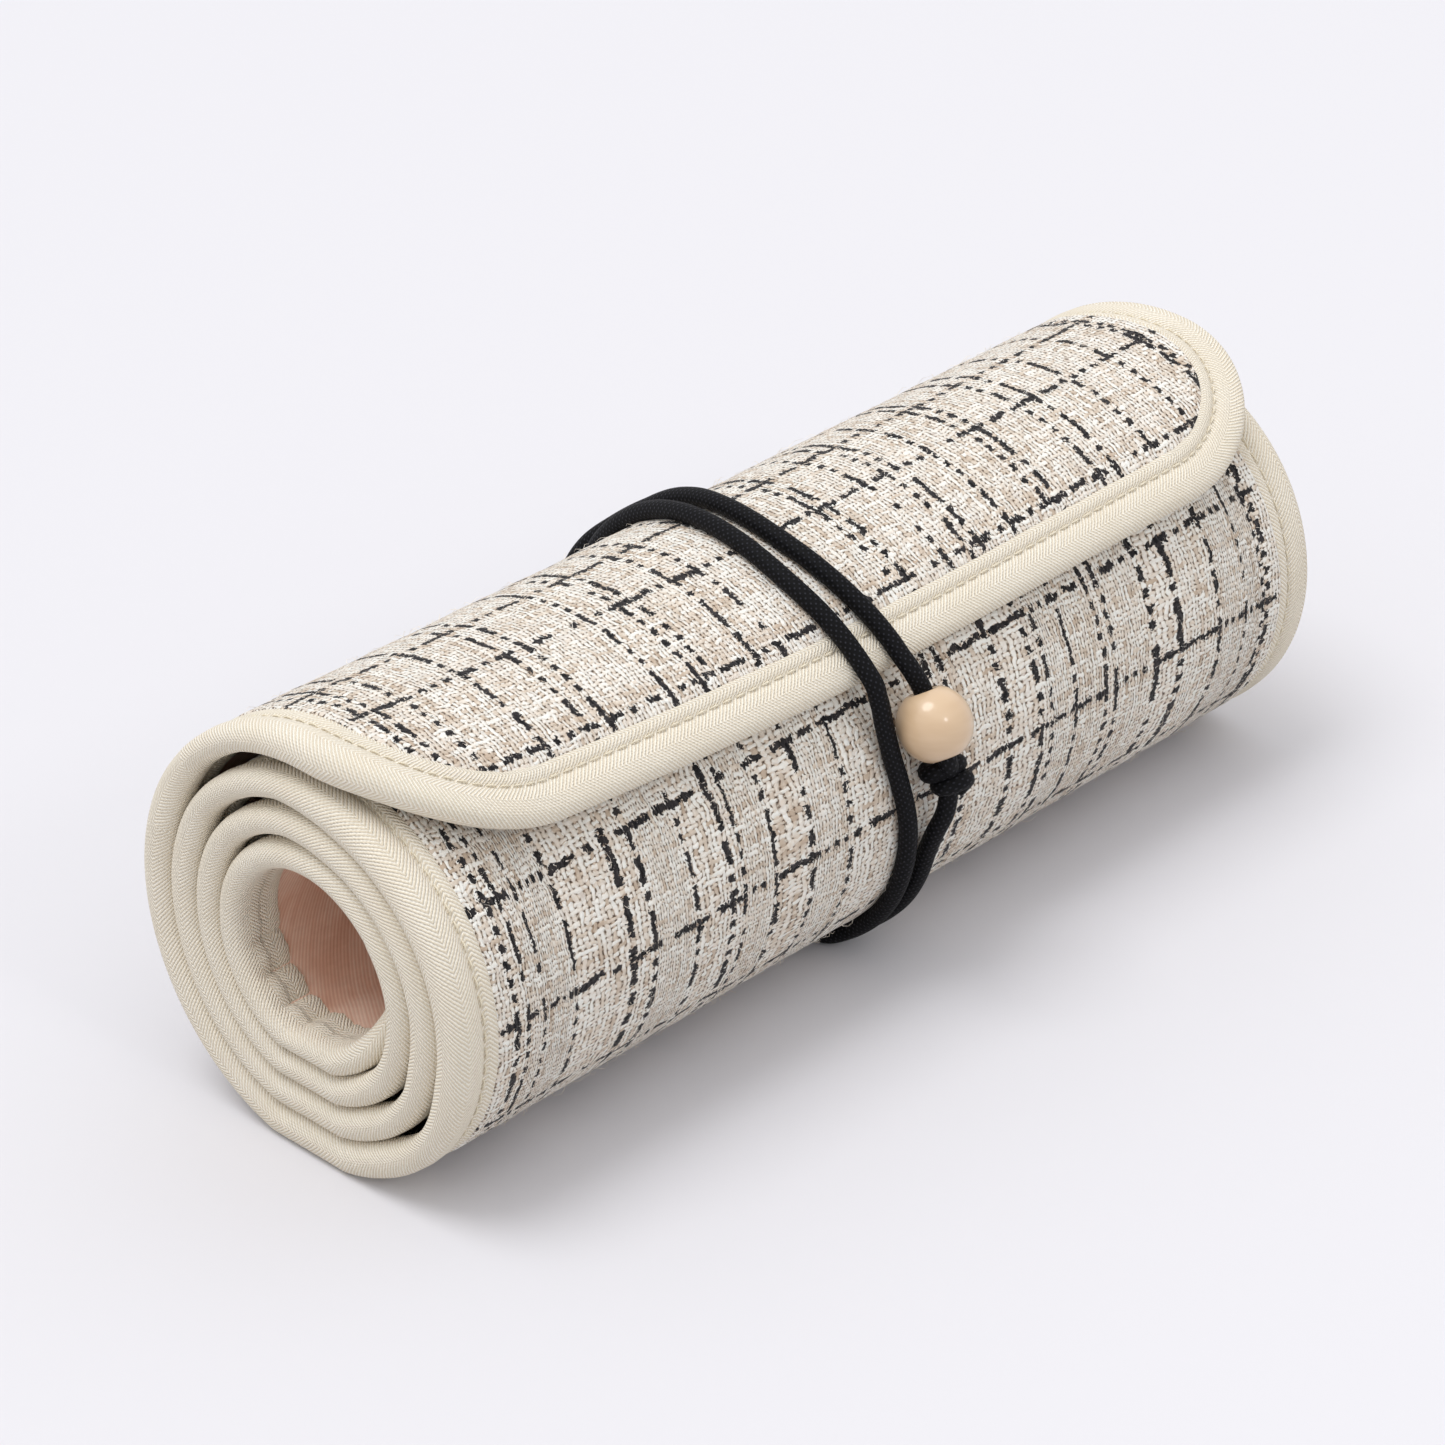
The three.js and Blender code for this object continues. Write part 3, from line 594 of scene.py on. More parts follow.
def tweed_material():
    graph = Finish("tweed", roughness=0.92, specular=0.2, sheen=0.1)
    across, along = graph.cloth()
    spot = graph.place(across, along)
    other = graph.place(along, across, 7.0)
    shiver = (graph.cloud(spot, 1.9, 4.0) - 0.5) * 1.1
    shiver_along = (graph.cloud(other, 1.8, 4.0) - 0.5) * 1.1
    across = across + (graph.cloud(spot, 0.4) - 0.5) * 1.4
    along = along + (graph.cloud(other, 0.45) - 0.5) * 1.4

    # Fine, steadier warps and wefts make the ground, and the black yarns are thicker
    fine = (shiver * FINE_SHIVER + across) / FINE_YARN
    rung = (shiver_along * FINE_SHIVER + along) / RUNG
    across = across + shiver
    along = along + shiver_along
    warp = across / YARN
    weft = along / YARN
    fine_number = fine.floor()
    rung_number = rung.floor()
    luck = graph.chance(fine_number, rung_number)
    warp_up = abs((fine_number + rung_number) % 2.0 - (luck < 0.25))

    def hump(share, wide):
        return graph.math("MAXIMUM", 1.0 - ((share - 0.5) * wide) ** 2.0, 0.0)

    warp_height = hump(fine.fract(), 2.2) * (warp_up * 0.3 + 0.7)
    rung_height = hump(rung.fract(), 2.05) * ((1.0 - warp_up) * 0.45 + 0.5)
    height = graph.math("MAXIMUM", warp_height, rung_height)

    # Each yarn has its own tint, and slubs lighten or darken it along its length
    warp_tint = graph.chance(fine_number, 3.0, 1.0)
    rung_tint = graph.chance(11.0, rung_number, 2.0)
    tint = (rung_height > warp_height) * (rung_tint - warp_tint) + warp_tint
    slub = graph.cloud(graph.place(across, along, 4.0), 0.45, 3.0)
    speck = graph.chance(fine_number, rung_number, 9.0)
    ground = graph.ramp(
        tint * 0.44 + (slub * 0.45 + speck * 0.16),
        (0.24, rgb(206, 186, 166)), (0.37, rgb(236, 223, 208)), (0.46, rgb(255, 251, 244)),
        (0.57, rgb(255, 254, 249)), (0.65, rgb(238, 225, 211)), (0.73, rgb(255, 251, 244)),
        (0.86, rgb(214, 200, 188)),
    )

    # The black yarns show as ragged dashes, longer where they float over more than one yarn
    more_wefts = np.arange(BLACK_WEFT_FIRST[-1], SHEET_LENGTH, BLACK_WEFT_STEP)[1:]
    wefts = [*BLACK_WEFT_FIRST, *more_wefts]
    ragged = graph.cloud(graph.place(across, along, 2.0), 1.9, 4.0)
    half = ragged * 1.7 - 0.42
    floats = graph.chance(warp.floor(), weft.floor(), 5.0)
    even = (warp.floor() + weft.floor()) % 2.0

    def is_one_of(number, places):
        found = 0.0
        for place in places:
            near = graph.math("COMPARE", number, float(math.floor(place / YARN)), 0.5)
            found = graph.math("MAXIMUM", near, found)
        return found

    def dashes(own, crossing, places, often):
        thin = abs(own.fract() - 0.5) < half
        body = ragged * 0.9 + hump(crossing.fract(), 1.8) > 0.6
        shows = floats < often * 0.66 + 0.3
        return is_one_of(own.floor(), places) * (thin * body * shows)

    black = graph.math("MAXIMUM", dashes(warp, weft, BLACK_WARPS_FLAP, even),
                       dashes(weft, warp, wefts, 1.0 - even))

    # Painted shade: warm dark pits between the yarns, open in some places and closed in others
    fibre = graph.cloud(graph.place(across, along), 6.0, 3.0)
    closed = (graph.cloud(graph.place(across, along, 6.0), 1.1) - 0.5) * 0.9
    painted_pit_shade = graph.ramp(
        height + closed + (fibre - 0.5) * 0.4,
        (0.1, (0.12, 0.09, 0.07)), (0.3, (0.43, 0.36, 0.3)), (0.49, (0.85, 0.81, 0.77)),
        (0.65, (1.0, 1.0, 1.0)),
    )
    shaded = graph.mix(1.0, ground, painted_pit_shade, "MULTIPLY")
    ink = graph.mix(luck * 0.5, rgb(17, 16, 19), rgb(74, 69, 70))
    return graph.dyed(graph.mix(black, shaded, ink), fibre * 0.6 + (height + closed), 0.26)


def twill_material():
    graph = Finish("herringbone_tape", roughness=0.8, specular=0.3)
    along, across = graph.cloth()
    spot = graph.place(along, across)
    zigzag = graph.math("PINGPONG", across, CHEVRON)
    rib = graph.wave(along + zigzag + (graph.cloud(spot, 1.4) - 0.5) * 0.3, TAPE_RIB)
    stain = graph.cloud(spot, 0.12)
    ground = graph.ramp(stain, (0.3, rgb(252, 245, 231)), (0.7, rgb(255, 250, 239)))
    # The grooves between the ribs are painted a darker, browner tone: painted shade
    colour = graph.mix((1.0 - rib) * 0.8, ground, rgb(225, 210, 184))
    return graph.dyed(colour, graph.wave(across, TAPE_YARN) * 0.35 + rib, 0.18, 0.9)


def satin_material():
    graph = Finish("satin_lining", roughness=0.38, sheen=0.25)
    across, along = graph.cloth()
    slanted = along * 0.6 + across
    rib = graph.wave(slanted, SATIN_RIB)
    streak = graph.cloud(graph.place(slanted * 0.9, along * 0.06), 1.0, 3.0)
    stain = graph.cloud(graph.place(across, along), 0.09, 3.0)
    wrinkle = graph.cloud(graph.place(across * 0.35, along), 0.3)
    colour = graph.ramp(rib * 0.25 + (streak * 0.5 + stain), (0.62, rgb(226, 176, 152)),
                        (0.88, rgb(240, 200, 178)), (1.0, rgb(248, 216, 197)))
    return graph.dyed(colour, rib * 0.04 + wrinkle, 0.9, 0.6)


def suede_material():
    graph = Finish("brushed_suede", roughness=0.95, specular=0.2, sheen=0.4)
    nap = graph.cloud(graph.place(*graph.cloth()), 2.2, 4.0)
    colour = graph.ramp(nap, (0.3, rgb(196, 146, 128)), (0.7, rgb(212, 164, 146)))
    return graph.dyed(colour, nap, 0.25, 0.5)


def elastic_material():
    graph = Finish("braided_elastic", roughness=0.6, specular=0.12)
    along, around = graph.cloth()
    # The pale dots where the braid's strands cross are painted highlights; they also rise in the relief
    dot = (graph.wave(along + around, BRAID) * graph.wave(along - around, BRAID)) ** 2.0
    light = dot * (graph.cloud(graph.place(along, around), 5.0) * 0.6 + 0.5)
    colour = graph.ramp(light, (0.15, rgb(10, 10, 12)), (0.8, rgb(52, 53, 60)))
    return graph.dyed(colour, light, 0.16, 0.9)


def bead_material():
    graph = Finish("lacquered_wood", roughness=0.42, coat=0.9)
    grain = graph.cloud(graph.solid((60.0, 60.0, 240.0)), 2.0)
    colour = graph.ramp(grain, (0.3, rgb(211, 180, 145)), (0.7, rgb(219, 190, 156)))
    return graph.dyed(colour, grain, 0.02, 0.2)


def gilt_material():
    graph = Finish("light_gold_plate", roughness=0.25, metallic=1.0)
    brushed = graph.cloud(graph.solid(), 900.0, 3.0)
    colour = graph.ramp(brushed, (0.3, rgb(206, 170, 112)), (0.7, rgb(226, 196, 142)))
    return graph.dyed(colour, brushed, 0.01, 0.2)


def wadding_material():
    graph = Finish("soft_wadding", roughness=1.0, specular=0.1)
    fluff = graph.cloud(graph.solid(), 500.0, 5.0)
    colour = graph.ramp(fluff, (0.3, rgb(232, 230, 224)), (0.7, rgb(246, 245, 241)))
    return graph.dyed(colour, fluff, 0.3, 0.6)


def zip_material():
    graph = Finish("zip_tape", roughness=0.7, specular=0.3)
    across, along = graph.cloth()
    coil = abs(along) < 1.0
    height = graph.wave(across, ZIP_TOOTH) * coil + graph.wave(along, ZIP_RIB) * 0.2
    # The colour darkens where the relief is lower, between the coil's teeth and the ribs: painted shade
    colour = graph.ramp(height, (0.1, rgb(196, 152, 130)), (0.8, rgb(232, 194, 174)))
    return graph.dyed(colour, height, 0.2, 0.8)


def thread_material():
    graph = Finish("sewing_thread", roughness=0.6, specular=0.4)
    along, around = graph.cloth()
    twist = graph.wave(along + around, THREAD_PLY)
    # The colour darkens in the grooves of the twist: painted shade
    return graph.dyed(graph.mix(twist, rgb(226, 215, 192), rgb(244, 236, 217)), twist, 0.05, 0.6)


def fibre_material():
    graph = Finish("loose_fibre", roughness=0.85, specular=0.2)
    tone = graph.cloud(graph.place(*graph.cloth()), 0.8)
    return graph.dyed(graph.ramp(tone, (0.35, rgb(226, 212, 194)), (0.65, rgb(255, 250, 242))))


TWEED = tweed_material()
FIBRE = fibre_material()
TWILL = twill_material()
SATIN = satin_material()
SUEDE = suede_material()
ELASTIC = elastic_material()
BEAD = bead_material()
GILT = gilt_material()
WADDING = wadding_material()
THREAD = thread_material()
ZIP_CLOTH = zip_material()

# The sheet's three stretches: the flap, the fold that bends at the hinge line, and the rest
FOLD_REACH = 8
FOLD_START = HINGE_AT - FOLD_REACH
FOLD_END = HINGE_AT + FOLD_REACH
STRETCHES = {"flap": (0, FOLD_START), "fold": (FOLD_START, FOLD_END), "roll": (FOLD_END, SHEET_LENGTH)}


def attach(piece, slot, body):
    """A piece rides on its body, or bends between the roll and the flap if it is in the fold."""
    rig.slot(piece, slot)
    if body == "fold":
        start = tuple(sheet(0, FOLD_END, 0) * MM)
        end = tuple(sheet(0, FOLD_START, 0) * MM)
        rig.blend(piece, "roll", "flap", start=start, end=end)
    else:
        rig.ride(piece, body)
    return piece


def dress(piece, slot, body, node):
    """A piece that stands for a solid of its body."""
    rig.replaces(attach(piece, slot, body), node)
    return piece


def declare_sheet(piece, x, length, held, rests_on, with_pieces=()):
    """The flat size and area of a sheet are those of its plan, before it is rolled up."""
    wide = (np.diff(x[1:], axis=1) + np.diff(x[:-1], axis=1)) / 2
    area = float((wide * np.diff(length, axis=0)[:, 1:]).sum()) * MM * MM
    flat = (float(np.ptp(x)) * MM, float(np.ptp(length)) * MM)
    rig.sheet(piece, flat=flat, held=held, rests_on=rests_on, area=area, with_pieces=with_pieces)


def lengths_between(start, end, step):
    return np.linspace(start, end, max(math.ceil((end - start) / step), 2) + 1)


def plan(start, end, step, shares, half=HALF, in_edge=True):
    """Places on the flat sheet: how far across it and how far along it each of a grid lies."""
    lengths = lengths_between(start, end, step)
    edge = half * np.ones_like(lengths)
    if in_edge:
        edge = np.minimum(edge, half_width(from_end(lengths), TWEED_INSET))
    return edge[:, None] * shares, np.repeat(lengths[:, None], len(shares), axis=1)


def cloth(name, material, x, length, top, base, uv=None):
    """Cloth between two depths of the rolled sheet, over places on the flat one."""
    pairs = np.stack(uv or (x, length), axis=-1)
    return slab(name, sheet(x, length, top), sheet(x, length, base), pairs, material)


# The tweed, whose columns are closer together near its two edges
TWEED_INSET = 2.6
TWEED_STEP = 1.5
NEAR_EDGE = np.array([0, 1.5, 3, 4.5, 5.6, 6.2, 6.6, 7, 7.5, 8.2, 9.5, 11])
PILE = 0.25
TUCK_DEPTH = 0.55
GRIP_INSET = 7.8
GRIP_FADE = 1.2
LUMPS = [(0.16, 9.0, 1), (0.1, 3.1, 2)]


def tweed_shares():
    widest = HALF - TWEED_INSET
    reach = widest - NEAR_EDGE[-1]
    inner = np.linspace(-reach, reach, math.ceil(2 * reach / TWEED_STEP) + 1)[1:-1]
    return np.concatenate([NEAR_EDGE - widest, inner, (widest - NEAR_EDGE)[::-1]]) / widest


def inside_tape(stretch):
    """The ends of a stretch, or of the cloths that the tape grips there."""
    start, end = STRETCHES[stretch]
    return max(start, TWEED_INSET), min(end, SHEET_LENGTH - TWEED_INSET)


def tweed_piece(stretch):
    """The tweed swells a little out of the tape that grips its edge."""
    x, length = plan(*inside_tape(stretch), TWEED_STEP, tweed_shares())
    lumps = sum(high * bumps(x, length, size, seed) for high, size, seed in LUMPS)
    out_of_tape = smooth((inside_edge(x, length) - GRIP_INSET) / GRIP_FADE)
    top = TUCK_DEPTH - out_of_tape * (TUCK_DEPTH + PILE + lumps)
    uv = tweed_place(x, length), length
    piece = cloth(f"tweed_{stretch}", TWEED, x, length, top, TWEED_THICKNESS, uv)
    attach(piece, "tweed", stretch)
    declare_sheet(piece, x, length, "stretched", [f"wadding_{stretch}"], [fibre_piece(stretch)])
    return piece


# Loose fibres stand off the tweed's outer turn
FIBRES_PER_SQUARE_MM = 0.045
FIBRE_SEED = 7
FIBRE_STEPS = 4
FIBRE_SIDES = 3
FIBRE_RADIUS = 0.05
FIBRE_TAPER = 0.7
FIBRE_TURNS = 1.02
FIBRE_FLOOR_TURNS = 0.07
FIBRE_MARGIN = 2
FIBRE_CURL = (-1.4, 1.4)
FIBRE_REACH = (1.0, 3.2)
FIBRE_RISE = (0.2, 0.75)
FIBRE_ROOT = 0.3
FIBRE_BOW = 2.2
THREAD_SHARP = 80


def fibre_piece(stretch):
    start, end = STRETCHES[stretch]
    start = max(start, TAPE_WIDTH)
    end = min(end, length_at(FIBRE_TURNS))
    random = np.random.default_rng(FIBRE_SEED)
    count = int(FIBRES_PER_SQUARE_MM * (end - start) * SHEET_WIDTH)
    margin = TAPE_WIDTH + FIBRE_MARGIN
    ranges = [(margin - HALF, HALF - margin), (start, end), (0, FULL_TURN),
              FIBRE_CURL, FIBRE_REACH, FIBRE_RISE]
    draws = [random.uniform(low, high, count) for low, high in ranges]
    off_floor = np.abs(turn_at(draws[1]) - BOTTOM_TURN) > FIBRE_FLOOR_TURNS
    kept = (inside_edge(*draws[:2]) > margin) & off_floor
    x, length, heading, curl, reach, rise = [draw[kept][:, None] for draw in draws]
    share = np.linspace(0, 1, FIBRE_STEPS)
    run = reach * share
    bearing = heading + curl * share
    depth = FIBRE_ROOT - (FIBRE_ROOT + PILE + rise) * np.sin(share * FIBRE_BOW)
    path = sheet(x + run * np.cos(bearing), length + run * np.sin(bearing), depth)
    ahead = unit(np.gradient(path, axis=1))
    side = unit(np.cross(ahead, path - [0, AXIS_Y, AXIS_HEIGHT]))
    piece = strands(f"loose_fibres_{stretch}", path, length + run, side, np.cross(side, ahead),
                    FIBRE_RADIUS * (1 - FIBRE_TAPER * share), FIBRE_SIDES, 0, FIBRE, THREAD_SHARP)
    return attach(piece, "tweed", stretch)


# The layers under the tweed
LAYER_STEP = 2.5
LAYER_SHARES = np.linspace(-1, 1, 80)
LINING_RIPPLE = 0.12
RIPPLE_FADE = 6


def layer_piece(stretch, name, top, base, ripple, material, under):
    """The wadding, or the lining with its loose ripple."""
    x, length = plan(*inside_tape(stretch), LAYER_STEP, LAYER_SHARES)
    loose = smooth((inside_edge(x, length) - TAPE_WIDTH) / RIPPLE_FADE)
    wave = ripple * bumps(0.4 * x, length, 4.0, 3) * loose
    piece = attach(cloth(f"{name}_{stretch}", material, x, length, top, base + wave), name, stretch)
    declare_sheet(piece, x, length, "laid", [f"{under}_{stretch}"])
    return piece


# The edge tape: a flat strip beside the stitches, and a fat band rolled round the sheet's edge.
# The points of its section are an inset from the edge and a depth, and under the sheet a rise
TAPE_THICKNESS = 0.4
STRIP = [(TAPE_WIDTH, 0.4), (8.6, 0.15), (8.2, -0.06), (7.4, -0.12), (6.7, 0.04), (6.3, 0.42)]
BAND = [(5.9, 0.5), (5.5, 0.1), (4.7, -0.24), (3.7, -0.34)]
UNDER_BAND = [(3.4, 0), (4.2, 0.15), (4.9, 0.5)]
UNDER_STRIP = [(5.3, 0.35), (6.2, 0.1), (7.6, 0), (8.6, 0)]
UNDER_END = 0.2
BAND_RISE = 0.3
NOSE_INSET = 3.1
NOSE_REACH = 3.0
NOSE_STEPS = 12
NOSE_FULLNESS = 0.8

# Where the turns gape: an angle, how far to its sides, and how much. The far end gapes less
GAPES = [(118, 48, 1.9), (322, 26, 1.3)]
GAPE_TURNS = 3.2
GAPE_FADE = 1.6
FAR_GAPE = 0.7
LAST_SPARE = 0.1
FLAP_SPARE = 0.2

# The last turn's gathers: a turn, and how deep the strip is drawn there
PUCKERS = [
    (3.4, 0.3), (3.43, -0.6), (3.46, 0.5), (3.485, -0.95), (3.515, 0.6), (3.545, -0.95), (3.57, 0.6),
    (3.6, -0.8), (3.63, 0.45), (3.66, -0.6), (3.7, 0.3), (3.74, -0.3),
]
PUCKER_REACH = 0.7
PUCKER_INSET = 2
PUCKER_FADE = 3


def tape_section(fat, flush):
    """Inset and depth of points round the outside of the tape's fold. Where it is flush, the band
    runs into the inner strip without a groove."""
    middle = (fat - BAND_RISE) / 2
    tall = (fat + BAND_RISE) / 2
    angles = [math.pi * k / NOSE_STEPS for k in range(1, NOSE_STEPS)]
    nose = [(NOSE_INSET - NOSE_REACH * math.sin(angle) ** NOSE_FULLNESS,
             middle - tall * math.cos(angle)) for angle in angles]
    groove = 0 if flush else 1
    under = [(inset, fat - rise * groove) for inset, rise in UNDER_BAND]
    under += [(inset, EDGE_THICKNESS - rise * groove) for inset, rise in UNDER_STRIP]
    return STRIP + BAND + nose + under + [(TAPE_WIDTH, EDGE_THICKNESS - UNDER_END)]


def fat_at(length, side, x):
    """The band's thickness: it fills the room to the next turn, but for where the turns gape,
    and it is hardly thicker than the sheet along the flap's loose front edge."""
    turn = turn_at(length)
    pitch = radius_at(turn) - radius_at(turn + 1)
    angle = TIP_ANGLE + FULL_TURN * turn
    gape = 0
    for at, reach, depth in GAPES:
        away = np.abs((angle - math.radians(at) + math.pi) % FULL_TURN - math.pi)
        gape = gape + (1 - smooth(away / math.radians(reach))) * depth
    gape = gape * np.where(x < 0, 1, FAR_GAPE) * np.clip((GAPE_TURNS - turn) / GAPE_FADE, 0, 1)
    full = np.maximum(pitch - CLEARANCE - gape, EDGE_THICKNESS)
    full = np.where(turn > WHOLE_TURNS - 1, EDGE_THICKNESS + LAST_SPARE, full)
    on_flap = EDGE_THICKNESS + FLAP_SPARE
    return np.where(turn < HINGE_TURN, on_flap + (full - on_flap) * side ** 4, full)


def pucker(length, inset):
    """How far the inner strip of the last turn is drawn up into gathers."""
    turn = turn_at(length)
    drawn = 0
    for at, deep in PUCKERS:
        ahead = (turn - at) * FULL_TURN * radius_at(turn)
        drawn = drawn + deep * np.exp(-(ahead / PUCKER_REACH) ** 2)
    return drawn * smooth((inset - PUCKER_INSET) / PUCKER_FADE)


def round_stations(far, step):
    """Stations up one edge, round the sheet's end and down the other, by distance from it."""
    up = lengths_between(CORNER_RADIUS, far, step)[::-1]
    turned = lengths_between(0, math.pi / 2, step / CORNER_RADIUS)[1:]
    corner_x = HALF - CORNER_RADIUS
    end = lengths_between(-corner_x, corner_x, step)[1:-1]
    side = np.stack([0 * up - HALF, up, 0 * up + 1, 0 * up])
    corner = np.stack([-corner_x - CORNER_RADIUS * np.cos(turned),
                       CORNER_RADIUS * (1 - np.sin(turned)), np.cos(turned), np.sin(turned)])
    middle = np.stack([end, 0 * end, 0 * end, 0 * end + 1])
    near = np.concatenate([side, corner], axis=1)
    other = near[:, ::-1] * [[-1], [1], [-1], [1]]
    xs, distances, in_x, in_end = np.concatenate([near, middle, other], axis=1)
    return xs, distances, run_along(np.stack([xs, distances], axis=1)), in_x, in_end


def edge_stations(stretch, step=1):
    """Stations along a stretch's edge: place, length, distance run, and the way in from the edge.
    The fold has one run of them on each side."""
    start, end = STRETCHES[stretch]
    if stretch == "fold":
        lengths = lengths_between(start, end, step)
        one = np.ones_like(lengths)
        return [(side * HALF * one, lengths, lengths - start, -side * one, 0 * one) for side in (-1, 1)]
    if stretch == "flap":
        return [round_stations(end, step)]
    xs, distances, run, in_x, in_end = round_stations(SHEET_LENGTH - start, step)
    return [(xs, SHEET_LENGTH - distances, run, in_x, -in_end)]


def tape_pieces(stretch):
    """The tape along a stretch's edge, and each piece's width and length as cut."""
    pieces, cuts = [], []
    for number, (xs, lengths, run, in_x, in_length) in enumerate(edge_stations(stretch)):
        fats = fat_at(lengths, np.abs(in_x), xs)
        flush = turn_at(lengths) > WHOLE_TURNS - 1
        outer = np.array([tape_section(fat, last) for fat, last in zip(fats, flush)])
        around = run_along(outer[0])
        around = around - around[-1] / 2
        inset, depth = outer[..., 0], outer[..., 1]
        drawn = pucker(lengths[:, None] + in_length[:, None] * inset, inset)
        outer[..., 1] += (depth > EDGE_THICKNESS / 2) * drawn
        towards = [NOSE_INSET, EDGE_THICKNESS / 2] - outer
        level = np.sign(towards) * [0, TAPE_THICKNESS]
        reach = np.maximum(np.linalg.norm(towards, axis=-1, keepdims=True), TAPE_THICKNESS)
        inner = outer + np.where(outer[..., :1] > NOSE_INSET, level, towards * TAPE_THICKNESS / reach)
        inset, depth = np.moveaxis(np.concatenate([outer, inner[:, ::-1]], axis=1), -1, 0)
        rings = sheet(xs[:, None] + in_x[:, None] * inset,
                      lengths[:, None] + in_length[:, None] * inset, depth)
        around = np.concatenate([around, around[::-1]])
        uv = np.stack(np.broadcast_arrays(run[:, None], around), axis=-1)
        name = f"tape_{stretch}" if stretch != "fold" else f"tape_fold_{number + 1}"
        pieces.append(attach(lofts(name, rings[None], uv, TWILL), "twill_tape", stretch))
        cuts.append((float(np.ptp(around)) * MM, float(run[-1]) * MM))
    return pieces, cuts


# The stitches that hold the tape, as bowed threads
STITCH_INSET = 6.15
STITCH_LENGTH = 2.0
STITCH_STEP = 2.7
STITCH_RADIUS = 0.17
STITCH_ENDS = 0.45
STITCH_DEPTH = 0.12
STITCH_SUNK = 0.3
STITCH_BOW = 0.32
STITCH_POINTS = 6
STITCH_SIDES = 6


def stitches(stretch, label, depth):
    share = np.linspace(0, 1, STITCH_POINTS)
    bow = np.sin(math.pi * share)
    lines = []
    for xs, lengths, run, in_x, in_length in edge_stations(stretch):
        starts = np.arange(STITCH_STEP / 2, run[-1] - STITCH_STEP, STITCH_STEP)
        along = starts[:, None] + STITCH_LENGTH * share
        x = np.interp(along, run, xs + in_x * STITCH_INSET)
        length = np.interp(along, run, lengths + in_length * STITCH_INSET)
        lines.append(np.stack([along, x, length]))
    along, x, length = np.concatenate(lines, axis=1)
    depth = depth + np.sign(EDGE_THICKNESS / 2 - depth) * (STITCH_SUNK - STITCH_BOW * bow)
    path = sheet(x, length, depth)
    up = unit(sheet(x, length, depth - 1) - path)
    side = np.cross(unit(np.gradient(path, axis=1)), up)
    radii = STITCH_RADIUS * (STITCH_ENDS + (1 - STITCH_ENDS) * bow)
    piece = strands(f"stitches_{label}_{stretch}", path, along, side, up, radii, STITCH_SIDES,
                    FULL_TURN * STITCH_RADIUS, THREAD, THREAD_SHARP)
    return attach(piece, "twill_tape", stretch)


SOLID_OF = {"flap": "flap", "roll": "rolled"}
for stretch in STRETCHES:
    tweed = tweed_piece(stretch)
    wadding = layer_piece(stretch, "wadding", WADDING_TOP, WADDING_BASE, 0, WADDING, "tweed")
    lining = layer_piece(stretch, "lining", LINING_TOP, LINING_BASE, LINING_RIPPLE, SATIN, "wadding")
    tapes, cuts = tape_pieces(stretch)
    seams = [stitches(stretch, "outer", STITCH_DEPTH)]
    if stretch != "roll":
        seams.append(stitches(stretch, "inner", EDGE_THICKNESS - STITCH_DEPTH))
    for tape, cut in zip(tapes, cuts):
        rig.sheet(tape, flat=cut, held="folded", rests_on=[wadding], with_pieces=seams)
        seams = []
    if stretch in SOLID_OF:
        parts = {"outer_panel": tweed, "wadding": wadding, "lining": lining, "edge_tape": tapes[0]}
        for part, piece in parts.items():
            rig.replaces(piece, f"{SOLID_OF[stretch]}_{part}")


# The flat cloths inside the roll, and where they start and end on the sheet
OUTER_POCKET = SHEET_LENGTH * np.array([0.351, 0.48])
EARRING_PANEL = SHEET_LENGTH * np.array([0.493, 0.601])
INNER_POCKET = SHEET_LENGTH * np.array([0.637, 0.749])
STRAP_START = SHEET_LENGTH * 0.765
SLIP_START = SHEET_LENGTH * 0.818
PANEL_HALF = HALF - 2.4
POCKET_TOP = LINING_BASE + POCKET_STANDOFF
EARRING_HALF = 75
EARRING_TOP = LINING_BASE + CLEARANCE
EARRING_THICKNESS = 0.6
HEM_WIDTH = 7
STRAP_TOP = 3.8
STRAP_WIDTH = 15
STRAP_THICKNESS = 0.35
INNER_STEP = 2
INNER_SHARES = np.linspace(-1, 1, 60)
INNER_RIPPLE = 0.1
NARROWEST_CLOTH = 10


def inner_cloth(name, node, slot, material, ends, half, top, thickness, to_end=False, on_it=()):
    x, length = plan(*ends, INNER_STEP, INNER_SHARES, half, to_end)
    ripple = INNER_RIPPLE * bumps(0.5 * x, length, 5.0, 4)
    piece = cloth(name, material, x, length, top, top + thickness + ripple)
    dress(piece, slot, "roll", node)
    if np.ptp(ends) > NARROWEST_CLOTH:
        declare_sheet(piece, x, length, "laid", ["lining_roll"], on_it)
    return piece


# The zips' tapes have the ridge of their coil along the inner edge. Their places across are in
# widths of the coil
ZIP_COIL_GAP = 1
ZIP_TAPE_WIDTH = 5
ZIP_TAPE_TOP = 3.57
ZIP_TAPE_THICKNESS = 0.2
ZIP_PLACES = np.array([0, 0.25, 0.5, 0.75, 1, 1.1, 3, 5])
ZIP_COLUMNS = 160
COIL_WIDTH = 1
COIL_RISE = 0.4


def zip_tape(name, middle, side):
    near = middle + side * ZIP_COIL_GAP / 2
    node = f"{name}_zip_tape_near_{'pocket' if side > 0 else 'hem'}"
    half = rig.box(node)[1][0] / MM
    across = np.linspace(-half, half, ZIP_COLUMNS)
    x, length = np.meshgrid(across, np.sort(near + side * ZIP_PLACES * COIL_WIDTH))
    off = np.abs(length - near)
    ridge = np.sqrt(np.clip(1 - (2 * off / COIL_WIDTH - 1) ** 2, 0, 1)) * COIL_RISE
    piece = cloth(f"{node}_woven", ZIP_CLOTH, x, length, ZIP_TAPE_TOP,
                  ZIP_TAPE_TOP + ZIP_TAPE_THICKNESS + ridge, (x, length - near))
    return dress(piece, "lining", "roll", node)


